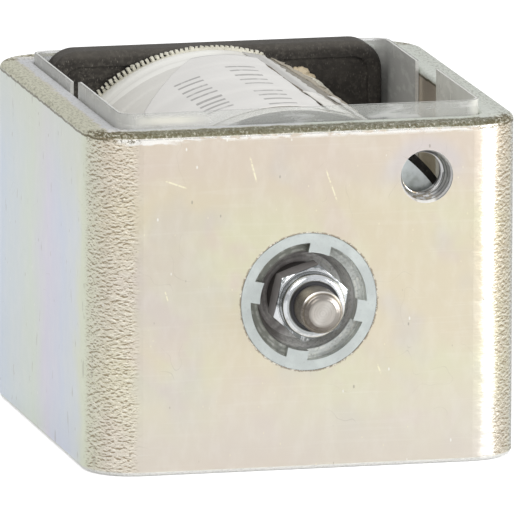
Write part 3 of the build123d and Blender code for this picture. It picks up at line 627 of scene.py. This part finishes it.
# Label paper with plain grey rules and no words
def labelPaper(rules):
    f = Finish("labelPaper")
    pulp = f.noise(2.0, 3, 0.6)
    cloud = f.noise(0.12, 2, 0.5)
    colour = f.mix(f.step(pulp, 0.4, 0.7, 0.0, 0.12), (0.735, 0.72, 0.69), (0.66, 0.645, 0.615))
    colour = f.mix(f.step(cloud, 0.42, 0.66, 0.0, 0.30), colour, (0.65, 0.635, 0.605))
    ink = 0.0
    for startX, endX, first, pitch, count in rules["groups"]:
        row = (f.y - frontY - first) / pitch
        sway = ((row + 0.5).floor() * 12.9 + startX).sine() * 0.6
        inside = f.step(f.x, startX - 0.06, startX + 0.06) * f.step(f.x - sway, endX + 0.06, endX - 0.06)
        inside = inside * f.step(row, -0.5, -0.45) * f.step(row, count - 0.5, count - 0.55)
        line = f.step(abs(row - (row + 0.5).floor()) * pitch, 0.42, 0.26)
        ink = (inside * line).top(ink)
    fade = f.step(f.noise(1.0, 3, 0.6, stretch=(1.0, 0.4, 1.0)), 0.30, 0.50, 0.45, 1.0)
    colour = f.mix(ink * fade * rules["strength"], colour, rules["ink"])
    return f.surface(Base_Color=colour, Roughness=0.55 + pulp * 0.1, Normal=f.bump(pulp, 0.006))


labelRules = dict(
    groups=((-8.6, -5.0, 22.6, 2.1, 5), (-8.5, -4.9, 14.8, 1.8, 4), (-1.9, 2.0, 23.6, 2.5, 5), (-1.9, 2.0, 11.8, 2.5, 4)),
    strength=0.70, ink=(0.25, 0.24, 0.23),
)

zinc = passivatedZinc()
ringZinc = poleZinc()
washerZinc = workedMetal("washerZinc", (0.66, 0.70, 0.70), 0.34, "punched", 7.0, 0.04, (0.36, 0.40, 0.36), 0.75)
nutChrome = nutZinc()
rodSteel = turnedRod()
plungerNickel = workedMetal("plungerNickel", (0.70, 0.70, 0.69), 0.25, "turned", 6.0, 0.006)
drawnBrass = workedMetal("drawnBrass", (0.80, 0.62, 0.30), 0.26, "drawn", 6.0, 0.006, (0.50, 0.36, 0.16))
sinteredBronze = workedMetal("sinteredBronze", (0.60, 0.40, 0.24), 0.46, "punched", 9.0, 0.02)
springWire = workedMetal("springWire", (0.56, 0.56, 0.57), 0.24, "drawn", 5.0, 0.006)
tinnedJoint = workedMetal("tinnedJoint", (0.72, 0.72, 0.70), 0.36, "punched", 4.0, 0.03)
black = blackMoulding()
tape = whiteTape()
film = clearFilm()
tapeEnd = tapeEndFinish()
creamPaper = paper("creamPaper", (0.72, 0.70, 0.605), (0.42, 0.40, 0.32), 0.02)
kraftPaper = paper("kraftPaper", (0.30, 0.28, 0.24), (0.14, 0.12, 0.09), 0.08)
torn = paper("torn", (0.45, 0.41, 0.335), (0.22, 0.185, 0.13), 0.10)
creamPadding = paper("creamPadding", (0.76, 0.70, 0.56), (0.58, 0.50, 0.36), 0.05)
sheetPaper = labelPaper(labelRules)
glue = moulded("glue", (0.62, 0.52, 0.36), 0.42, 2.6, 0.14)
rubber = moulded("rubber", (0.11, 0.098, 0.095), 0.62)
nylon = moulded("nylon", (0.055, 0.055, 0.06), 0.34)
winding = copperWinding()

nodeFinish = {
    "box_frame": zinc, "front_pole": ringZinc, "rod_bush": sinteredBronze, "pole_shim": drawnBrass,
    "buffer_washer": rubber, "front_flux_washer": washerZinc, "guide_tube": drawnBrass,
    "rear_flux_bush": ringZinc, "bobbin": black, "winding": winding, "coil_padding": creamPadding,
    "lead_joints": tinnedJoint, "coil_wrap": tape, "paper_collar": creamPaper,
    "rating_label": sheetPaper, "glue_dab": glue, "front_film": film, "rear_film": film,
    "plunger": plungerNickel, "cross_pin": springWire, "push_rod": rodSteel, "lock_nut": nutChrome,
    "nut_insert": nylon, "return_spring": springWire,
}
for node, material in nodeFinish.items():
    for slot in frame["nodes"][node].material_slots:
        slot.material = material
print("finishes made:", len(nodeFinish))


def addPiece(name, mesh, material, body, slot, smooth=True):
    piece = bpy.data.objects.new(name, mesh)
    bpy.context.scene.collection.objects.link(piece)
    mesh.materials.clear()
    mesh.materials.append(material)
    for face in mesh.polygons:
        face.use_smooth = smooth
    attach(piece, body)
    return piece


def meshFrom(name, points, faces):
    mesh = bpy.data.meshes.new(name)
    mesh.from_pydata([Vector(p) * mm for p in points], [], faces)
    made = bmesh.new()
    made.from_mesh(mesh)
    bmesh.ops.remove_doubles(made, verts=made.verts, dist=1e-7)
    bmesh.ops.recalc_face_normals(made, faces=made.faces)
    made.to_mesh(mesh)
    made.free()
    return mesh


# A closed sheet between two surfaces given over a grid of u and v
def shellMesh(name, outer, inner, countU, countV, closedU=False):
    points, faces = [], []
    lastU = countU if closedU else countU + 1
    for surface in (outer, inner):
        for j in range(countV + 1):
            for i in range(lastU):
                points.append(surface(i / countU, j / countV))
    size = lastU * (countV + 1)

    def at(layer, i, j):
        return layer * size + j * lastU + (i % lastU)

    for j in range(countV):
        for i in range(countU):
            a, b, c, d = at(0, i, j), at(0, i + 1, j), at(0, i + 1, j + 1), at(0, i, j + 1)
            faces.append((a, b, c, d))
            a, b, c, d = at(1, i, j), at(1, i + 1, j), at(1, i + 1, j + 1), at(1, i, j + 1)
            faces.append((d, c, b, a))
    for i in range(countU):
        for j in (0, countV):
            faces.append((at(0, i, j), at(1, i, j), at(1, i + 1, j), at(0, i + 1, j)))
    if not closedU:
        for j in range(countV):
            for i in (0, countU):
                faces.append((at(0, i, j), at(0, i, j + 1), at(1, i, j + 1), at(1, i, j)))
    return meshFrom(name, points, faces)


# Coil wrap: round tape turns between a front and a rear circle with different centres
wrap = dict(
    frontRadius=20.1, frontX=-0.4, frontZ=0.9, rearRadius=19.35, rearX=-1.1, rearZ=2.2,
    thickness=0.5, tapeWidth=7.5, lapStep=0.10, crease=0.10, around=220, along=110,
)
wrapFront = wrapLow.y - frontY
wrapRear = wrapHigh.y - frontY


def wrapPoint(angle, depth, lift=0.0):
    share = (depth - wrapFront) / (wrapRear - wrapFront)
    radius = wrap["frontRadius"] + share * (wrap["rearRadius"] - wrap["frontRadius"]) + lift
    x = wrap["frontX"] + share * (wrap["rearX"] - wrap["frontX"]) + radius * math.cos(angle)
    z = wrap["frontZ"] + share * (wrap["rearZ"] - wrap["frontZ"]) + radius * math.sin(angle)
    return Vector((x, frontY + depth, axisZ + z))


def tapeLift(angle, depth):
    # Each turn laps the one before it, so the surface steps down once a tape width.
    turn = (depth + angle / (2 * math.pi) * wrap["tapeWidth"]) / wrap["tapeWidth"]
    across = turn - math.floor(turn)
    lap = wrap["lapStep"] * (min(across / 0.06, 1.0) - across)
    spot = Vector((math.cos(angle) * 2.2, depth * 0.16, math.sin(angle) * 2.2))
    crease = wrap["crease"] * (noise.noise(spot) + 0.5 * noise.noise(spot * 2.7))
    ends = min(1.0, (depth - wrapFront) / 1.2, (wrapRear - depth) / 1.2)
    return (lap + crease) * max(ends, 0.0) - 0.12


def buildWrap():
    def outer(u, v):
        angle, depth = u * 2 * math.pi, wrapFront + v * (wrapRear - wrapFront)
        return wrapPoint(angle, depth, tapeLift(angle, depth))

    def inner(u, v):
        return wrapPoint(u * 2 * math.pi, wrapFront + v * (wrapRear - wrapFront), -wrap["thickness"])

    mesh = shellMesh("coilTape", outer, inner, wrap["around"], wrap["along"], closedU=True)
    piece = addPiece("coil_tape", mesh, tape, "housing", "white_tape")
    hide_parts("coil_wrap")


buildWrap()


# Folded ends of tape and kraft paper along the coil's right shoulder, each fanned from rear to front
flaps = (
    dict(name="tape_end_upper", rear=(71.0, 78.6), front=(66.5, 76.8), depths=(9.5, 44.3), lift=0.05,
         ragged=0.05, finish=tapeEnd, slot="white_tape"),
    dict(name="kraft_end", rear=(66.0, 72.0), front=(46.0, 67.5), depths=(11.0, 44.4), lift=0.02,
         ragged=0.16, finish=kraftPaper, slot="cream_paper"),
    dict(name="paper_edge", rear=(62.0, 68.0), front=(47.0, 54.0), depths=(22.0, 44.4), lift=0.22,
         ragged=0.30, finish=torn, slot="cream_paper"),
    dict(name="tape_end_lower", rear=(72.5, 76.0), front=(69.0, 75.5), depths=(9.5, 20.5), lift=0.26,
         ragged=0.14, finish=tape, slot="white_tape"),
    dict(name="tape_fold", rear=(62.0, 64.0), front=(54.0, 58.5), depths=(12.0, 24.0), lift=0.24,
         ragged=0.10, finish=tapeEnd, slot="white_tape"),
)


def buildFlap(flap):
    first, last = flap["depths"]

    def surface(extra):
        def place(u, v):
            low, high = (f + v * (r - f) for f, r in zip(flap["front"], flap["rear"]))
            depth = first + v * (last - first)
            fray = flap["ragged"] * noise.noise(Vector((depth * 0.9, low * 0.3, 5.0)))
            angle = math.radians(low + u * (high - low)) - fray * (1.0 - u) * 0.3
            spot = Vector((u * 2.0, depth * 0.14, low))
            wave = 0.12 * noise.noise(spot) + 0.14 * (1.0 - u) ** 3 + fray * (1.0 - u)
            return wrapPoint(angle, depth, flap["lift"] + wave + extra)
        return place

    mesh = shellMesh(flap["name"], surface(0.0), surface(-0.14), 24, 90)
    addPiece(flap["name"], mesh, flap["finish"], "housing", flap["slot"])


for flap in flaps:
    buildFlap(flap)
print("coil wrap made")


# Label: a thin sheet on the wrap, with a slanting rear left corner and a lifted right edge
label = dict(
    rightAngle=76.5, leftAngle=127.5, front=9.9, rear=40.7, slantStart=28.6, slantAngle=99.5,
    lift=0.06, thickness=0.10, curl=0.08, acrossCount=70, alongCount=60,
)


def buildLabel():
    def surface(extra):
        def place(u, v):
            depth = label["front"] + v * (label["rear"] - label["front"])
            slant = max(0.0, (depth - label["slantStart"]) / (label["rear"] - label["slantStart"]))
            left = label["leftAngle"] + slant * (label["slantAngle"] - label["leftAngle"])
            angle = math.radians(label["rightAngle"] + u * (left - label["rightAngle"]))
            curl = label["curl"] * max(0.0, 1.0 - u * 9.0) ** 2 * (0.7 + 0.3 * math.sin(depth * 0.5))
            base = max(tapeLift(angle, depth), -0.12)
            return wrapPoint(angle, depth, base + label["lift"] + curl + extra)
        return place

    mesh = shellMesh(
        "labelSheet", surface(label["thickness"]), surface(0.0), label["acrossCount"], label["alongCount"]
    )
    piece = addPiece("label_sheet", mesh, sheetPaper, "housing", "label_paper")
    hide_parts("rating_label")


buildLabel()


# Geometry Nodes: one small builder for every tree
class Tree:
    def __init__(self, name, inputs):
        self.group = bpy.data.node_groups.new(name, "GeometryNodeTree")
        face = self.group.interface
        self.ids = {}
        face.new_socket("Geometry", in_out="INPUT", socket_type="NodeSocketGeometry")
        for key, value in inputs.items():
            kind = "NodeSocketInt" if isinstance(value, int) else "NodeSocketFloat"
            socket = face.new_socket(key, in_out="INPUT", socket_type=kind)
            socket.default_value = value
            self.ids[key] = socket.identifier
        face.new_socket("Geometry", in_out="OUTPUT", socket_type="NodeSocketGeometry")
        self.input = self.group.nodes.new("NodeGroupInput")
        self.output = self.group.nodes.new("NodeGroupOutput")

    def given(self, key):
        return self.input.outputs[key]

    def add(self, kind, settings=None, values=None):
        made = self.group.nodes.new(kind)
        for key, value in (settings or {}).items():
            setattr(made, key, value)
        for key, value in (values or {}).items():
            if isinstance(value, bpy.types.NodeSocket):
                self.group.links.new(value, made.inputs[key])
            else:
                made.inputs[key].default_value = value
        return made

    def maths(self, operation, first, second=0.0):
        return self.add("ShaderNodeMath", {"operation": operation}, {0: first, 1: second}).outputs[0]

    def finish(self, geometry, material):
        real = self.add("GeometryNodeRealizeInstances", {}, {0: geometry})
        painted = self.add("GeometryNodeSetMaterial", {}, {"Geometry": real.outputs[0]})
        painted.inputs["Material"].default_value = material
        self.group.links.new(painted.outputs[0], self.output.inputs[0])


def grow(name, tree, values, startMesh=None):
    start = startMesh or bpy.data.meshes.new(name + "Start")
    holder = bpy.data.objects.new(name + "Holder", start)
    bpy.context.scene.collection.objects.link(holder)
    modifier = holder.modifiers.new("grow", "NODES")
    modifier.node_group = tree.group
    for key, value in values.items():
        modifier[tree.ids[key]] = value
    bpy.context.view_layer.update()
    graph = bpy.context.evaluated_depsgraph_get()
    mesh = bpy.data.meshes.new_from_object(holder.evaluated_get(graph))
    mesh.name = name
    holder.modifiers.clear()
    bpy.data.objects.remove(holder)
    return mesh


# Collar at the rear of the coil: a paper disc with two staggered rows of teeth round it
fringe = dict(
    discRadius=19.25, pitch=0.62, toothWidth=0.34, toothDepth=0.42, jitter=0.36, seed=4,
    startAngle=70.0, endAngle=404.0, rows=((19.45, 0.40, 0.0), (19.82, 0.36, 0.5)),
)


def collarRadius(angle):
    # Right of the top the disc has no teeth and stands out as a plain lip, ragged lower down.
    turn = math.degrees(angle) % 360.0
    lip = min(1.0, max(0.0, (106.0 - turn) / 14.0)) * min(1.0, max(0.0, (turn - 70.0) / 6.0))
    stand = min(1.0, max(0.0, (58.0 - turn) / 10.0)) * min(1.0, max(0.0, (turn - 30.0) / 8.0))
    ragged = 0.10 * noise.noise(Vector((turn * 0.45, 2.0, 0.0)))
    return fringe["discRadius"] + 0.24 * lip + 0.85 * stand + ragged * max(stand, lip * 0.4)


def buildCollar():
    around = 360

    def surface(depth):
        def place(u, v):
            angle = u * 2 * math.pi
            outer = collarRadius(angle)
            radius = barrelRadius + v * (outer - barrelRadius)
            share = v
            x = share * wrap["rearX"] + radius * math.cos(angle)
            z = share * wrap["rearZ"] + radius * math.sin(angle)
            return Vector((max(-collarHigh.x, min(collarHigh.x, x)), depth, axisZ + z))
        return place

    mesh = shellMesh("collarDisc", surface(collarLow.y), surface(collarHigh.y), around, 6, closedU=True)
    piece = addPiece("collar_disc", mesh, creamPaper, "housing", "cream_paper")
    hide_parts("paper_collar")


def fringeTree():
    tree = Tree("fringeTeeth", dict(Width=0.36, Length=0.8, Depth=0.3, Jitter=0.1, Seed=1))
    tooth = tree.add("GeometryNodeMeshCube", {}, {
        "Size": tree.add("ShaderNodeCombineXYZ", {}, {
            0: tree.given("Length"), 1: tree.given("Depth"), 2: tree.given("Width"),
        }).outputs[0],
    })
    place = tree.add("GeometryNodeInputPosition").outputs[0]
    parts = tree.add("ShaderNodeSeparateXYZ", {}, {0: place})
    sideways = tree.maths("SUBTRACT", parts.outputs[0], wrap["rearX"] * mm)
    upwards = tree.maths("SUBTRACT", parts.outputs[2], (axisZ + wrap["rearZ"]) * mm)
    turn = tree.maths("MULTIPLY", tree.maths("ARCTAN2", upwards, sideways), -1.0)
    wobble = tree.add("FunctionNodeRandomValue", {"data_type": "FLOAT_VECTOR"}, {
        0: (-1.0, -1.0, -1.0), 1: (1.0, 1.0, 1.0), "Seed": tree.given("Seed"),
    })
    tilt = tree.add("ShaderNodeVectorMath", {"operation": "SCALE"}, {
        0: wobble.outputs[0], "Scale": tree.given("Jitter"),
    })
    angles = tree.add("ShaderNodeCombineXYZ", {}, {1: turn})
    turned = tree.add("ShaderNodeVectorMath", {"operation": "ADD"}, {0: angles.outputs[0], 1: tilt.outputs[0]})
    spread = tree.add("FunctionNodeRandomValue", {"data_type": "FLOAT"}, {
        2: 0.78, 3: 1.16, "Seed": tree.given("Seed"),
    })
    placed = tree.add("GeometryNodeInstanceOnPoints", {}, {
        "Points": tree.input.outputs[0], "Instance": tooth.outputs[0],
        "Rotation": turned.outputs[0], "Scale": spread.outputs[1],
    })
    tree.finish(placed.outputs[0], creamPaper)
    return tree


def buildFringe():
    tree = fringeTree()
    room = collarHigh.x
    middle = (collarLow.y + collarHigh.y) / 2
    for row, (radius, length, phase) in enumerate(fringe["rows"]):
        stepAngle = fringe["pitch"] / radius
        count = int(math.radians(fringe["endAngle"] - fringe["startAngle"]) / stepAngle)
        start = bpy.data.meshes.new("fringeStart")
        points = []
        for i in range(count):
            angle = math.radians(fringe["startAngle"]) + (i + phase) * stepAngle
            over = min(1.0, max(0.0, (124.0 - math.degrees(angle)) / 26.0))
            tucked = radius - over * (0.16, 0.30)[row] + 0.10 * noise.noise(Vector((i * 0.7, row * 5.0, 0.0)))
            x = wrap["rearX"] + tucked * math.cos(angle)
            z = axisZ + wrap["rearZ"] + tucked * math.sin(angle)
            if abs(x) < room - 0.3 and z > 0.5:
                points.append((x * mm, middle * mm, z * mm))
        start.from_pydata(points, [], [])
        mesh = grow("fringeRow%d" % row, tree, {
            "Width": fringe["toothWidth"] * mm, "Length": length * mm, "Depth": fringe["toothDepth"] * mm,
            "Jitter": fringe["jitter"], "Seed": fringe["seed"] + row,
        }, start)
        addPiece("fringe_row_%d" % (row + 1), mesh, creamPaper, "housing", "cream_paper", smooth=False)


buildCollar()
buildFringe()
print("fringe made")


# Screw threads: a profile swept along a helix about the Y axis
def helixTree(name):
    tree = Tree(name, dict(Turns=3.0, Radius=0.001, Pitch=0.001, Wire=0.0003, Corners=3, Steps=48))
    line = tree.add("GeometryNodeCurveSpiral", {}, {
        "Resolution": tree.given("Steps"), "Rotations": tree.given("Turns"),
        "Start Radius": tree.given("Radius"), "End Radius": tree.given("Radius"),
        "Height": tree.maths("MULTIPLY", tree.given("Turns"), tree.given("Pitch")),
    })
    profile = tree.add("GeometryNodeCurvePrimitiveCircle", {"mode": "RADIUS"}, {
        "Resolution": tree.given("Corners"), "Radius": tree.given("Wire"),
    })
    swept = tree.add("GeometryNodeCurveToMesh", {}, {0: line.outputs[0], 1: profile.outputs[0]})
    swept.inputs["Fill Caps"].default_value = True
    tree.group.interface_update(bpy.context)
    return tree, swept


def buildHelix(name, pieceName, sizes, centre, material, slot, body="housing", corners=3):
    tree, swept = helixTree(name)
    tree.finish(swept.outputs[0], material)
    mesh = grow(name, tree, {
        "Turns": sizes["turns"], "Radius": sizes["radius"] * mm, "Pitch": sizes["pitch"] * mm,
        "Wire": sizes["wire"] * mm, "Corners": corners, "Steps": sizes["steps"],
    })
    # The helix is made along Z and laid along +Y.
    mesh.transform(Matrix.Translation(Vector(centre) * mm) @ Matrix.Rotation(-math.pi / 2, 4, "X"))
    return addPiece(pieceName, mesh, material, body, slot, smooth=corners > 4)


buildHelix(
    "tappedThread", "tapped_thread", tapping,
    (tapping["x"], frontY + tapping["start"], axisZ + tapping["z"]), zinc, "zinc_steel",
)

spring = dict(radius=3.8, turns=6.0, wire=0.35, steps=40, pitch=2.05)
springLow, springHigh = (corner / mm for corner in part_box("return_spring"))
spring["pitch"] = (springHigh.y - springLow.y - 2 * spring["wire"]) / spring["turns"]
coil = buildHelix(
    "springCoil", "spring_coil", spring,
    (0.0, springLow.y + spring["wire"], axisZ), springWire, "spring_steel", corners=10,
)
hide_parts("return_spring")
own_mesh(coil)
print("threads and spring made")


# Glue: a lumpy drop where the coil meets the flange
glueDrop = dict(
    lumps=((0.0, 0.0, -0.3, 1.05), (0.9, 0.05, -0.85, 0.75), (-0.8, 0.1, -0.05, 0.70), (1.7, 0.1, -1.45, 0.55)),
    rough=0.20, fuzz=0.14,
)


def buildGlue():
    low, high = (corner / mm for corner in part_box("glue_dab"))
    centre = (low + high) / 2
    made = bmesh.new()
    for x, y, z, radius in glueDrop["lumps"]:
        place = Matrix.Translation(Vector((centre.x + x, high.y - 0.15, centre.z + z)) * mm)
        shape = Matrix.Diagonal((radius * 0.95, 0.55, radius * 0.8, 1.0))
        bmesh.ops.create_icosphere(made, subdivisions=4, radius=mm, matrix=place @ shape)
    for vertex in made.verts:
        spot = vertex.co / mm
        away = (spot - centre).normalized()
        lump = glueDrop["rough"] * noise.noise(spot * 1.9) + glueDrop["fuzz"] * noise.noise(spot * 5.5)
        vertex.co += away * lump * mm
        vertex.co.y = min(vertex.co.y, high.y * mm)
    mesh = bpy.data.meshes.new("glueDrop")
    made.to_mesh(mesh)
    made.free()
    piece = addPiece("glue_drop", mesh, glue, "housing", "amber_glue")
    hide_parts("glue_dab")


buildGlue()


# Grains of burr round the staked pole ring
burr = dict(radius=8.03, count=170, size=0.055, seed=11)


def burrTree():
    tree = Tree("stakeBurrs", dict(Size=0.0001, Seed=1))
    grain = tree.add("GeometryNodeMeshIcoSphere", {}, {"Radius": tree.given("Size"), "Subdivisions": 1})
    spread = tree.add("FunctionNodeRandomValue", {"data_type": "FLOAT_VECTOR"}, {
        0: (0.4, 0.15, 0.4), 1: (2.2, 0.7, 1.6), "Seed": tree.given("Seed"),
    })
    spin = tree.add("FunctionNodeRandomValue", {"data_type": "FLOAT_VECTOR"}, {
        0: (0.0, -3.1, 0.0), 1: (0.0, 3.1, 0.0), "Seed": tree.given("Seed"),
    })
    placed = tree.add("GeometryNodeInstanceOnPoints", {}, {
        "Points": tree.input.outputs[0], "Instance": grain.outputs[0],
        "Rotation": spin.outputs[0], "Scale": spread.outputs[0],
    })
    tree.finish(placed.outputs[0], ringZinc)
    return tree


def buildBurrs():
    points = []
    for i in range(burr["count"]):
        angle = 2 * math.pi * i / burr["count"]
        lump = noise.noise(Vector((math.cos(angle) * 2.5, math.sin(angle) * 2.5, 3.0)))
        if lump < -0.12:
            continue
        radius = burr["radius"] + 0.07 * noise.noise(Vector((angle * 9.0, 1.0, 0.0)))
        points.append((radius * math.cos(angle) * mm, (frontY + 0.01) * mm, (axisZ + radius * math.sin(angle)) * mm))
    start = bpy.data.meshes.new("burrStart")
    start.from_pydata(points, [], [])
    mesh = grow("stakeBurrs", burrTree(), {"Size": burr["size"] * mm, "Seed": burr["seed"]}, start)
    addPiece("stake_burrs", mesh, ringZinc, "housing", "pole_zinc")


buildBurrs()
print("small pieces made")


# Floor, background and soft studio light
def buildFloor():
    f = Finish("paleFloor")
    path = f.node("ShaderNodeLightPath")
    seen = Val(f, path.outputs["Is Camera Ray"])
    seen = seen.top(Val(f, path.outputs["Is Transmission Ray"]))
    board = f.node("ShaderNodeBsdfDiffuse", {}, {"Color": grey(0.82)})
    glow = f.node("ShaderNodeEmission", {}, {"Color": grey(1.0), "Strength": 0.42})
    both = f.node("ShaderNodeAddShader", {}, {0: Val(f, board.outputs[0]), 1: Val(f, glow.outputs[0])})
    either = f.node("ShaderNodeMixShader", {}, {0: seen, 1: Val(f, board.outputs[0]), 2: Val(f, both.outputs[0])})
    f.node("ShaderNodeOutputMaterial", {}, {0: Val(f, either.outputs[0])})
    mesh = bpy.data.meshes.new("floor")
    size = 6.0
    mesh.from_pydata([(-size, -size, 0), (size, -size, 0), (size, size, 0), (-size, size, 0)], [], [(0, 1, 2, 3)])
    mesh.materials.append(f.material)
    floor = bpy.data.objects.new("floor", mesh)
    bpy.context.scene.collection.objects.link(floor)


def buildWorld():
    world = bpy.data.worlds.new("softWorld")
    bpy.context.scene.world = world
    world.use_nodes = True
    tree = world.node_tree
    tree.nodes.clear()
    path = tree.nodes.new("ShaderNodeLightPath")
    room = tree.nodes.new("ShaderNodeBackground")
    room.inputs[0].default_value = (0.97, 0.98, 1.0, 1.0)
    room.inputs[1].default_value = 0.62
    white = tree.nodes.new("ShaderNodeBackground")
    white.inputs[0].default_value = (1.0, 1.0, 1.0, 1.0)
    mixed = tree.nodes.new("ShaderNodeMixShader")
    output = tree.nodes.new("ShaderNodeOutputWorld")
    tree.links.new(path.outputs["Is Camera Ray"], mixed.inputs[0])
    tree.links.new(room.outputs[0], mixed.inputs[1])
    tree.links.new(white.outputs[0], mixed.inputs[2])
    tree.links.new(mixed.outputs[0], output.inputs[0])


lamps = (
    dict(name="keySoftbox", place=(-0.55, -0.85, 0.95), size=(0.8, 0.8), watts=7.5, tone=(1.0, 0.985, 0.96)),
    dict(name="lowRight", place=(0.35, -0.295, 0.11), size=(0.21, 0.22), watts=1.25, tone=(1.0, 1.0, 1.0)),
    dict(name="topSoftbox", place=(0.15, 0.45, 1.15), size=(0.9, 0.7), watts=2.0, tone=(0.98, 0.99, 1.0)),
)


def buildLamps():
    aim = Vector((0.0, 0.0, axisZ)) * mm
    for lamp in lamps:
        data = bpy.data.lights.new(lamp["name"], "AREA")
        data.shape = "RECTANGLE"
        data.size, data.size_y = lamp["size"]
        data.energy = lamp["watts"]
        data.color = lamp["tone"]
        made = bpy.data.objects.new(lamp["name"], data)
        made.location = lamp["place"]
        made.rotation_euler = (aim - made.location).to_track_quat("-Z", "Y").to_euler()
        made.visible_camera = False
        bpy.context.scene.collection.objects.link(made)


# Camera: a long lens, placed as the photograph was taken
photo = dict(
    width=515.0, azimuth=-13.68, elevation=11.11, roll=0.218, pixelsPerMm=8.6186,
    distance=1895.75, target=(0.0, frontY + 20.0, 20.0), targetAt=(267.67, 266.40), sensor=36.0,
)


def buildCamera():
    turn, rise, roll = (math.radians(photo[key]) for key in ("azimuth", "elevation", "roll"))
    back = Vector((math.sin(turn) * math.cos(rise), -math.cos(turn) * math.cos(rise), math.sin(rise)))
    level = Vector((math.cos(turn), math.sin(turn), 0.0))
    upright = back.cross(level)
    right = level * math.cos(roll) + upright * math.sin(roll)
    up = upright * math.cos(roll) - level * math.sin(roll)
    middle = photo["width"] / 2
    place = Vector(photo["target"]) + back * photo["distance"]
    place -= right * (photo["targetAt"][0] - middle) / photo["pixelsPerMm"]
    place += up * (photo["targetAt"][1] - middle) / photo["pixelsPerMm"]
    data = bpy.data.cameras.new("camera")
    data.sensor_width = photo["sensor"]
    data.lens = photo["sensor"] * photo["pixelsPerMm"] * photo["distance"] / photo["width"]
    data.clip_start, data.clip_end = 0.1, 50.0
    camera = bpy.data.objects.new("camera", data)
    camera.matrix_world = Matrix.Translation(place * mm) @ Matrix((right, up, back)).transposed().to_4x4()
    bpy.context.scene.collection.objects.link(camera)
    bpy.context.scene.camera = camera


buildFloor()
buildWorld()
buildLamps()
buildCamera()
bpy.context.scene.view_settings.view_transform = "Standard"
print("stage made")
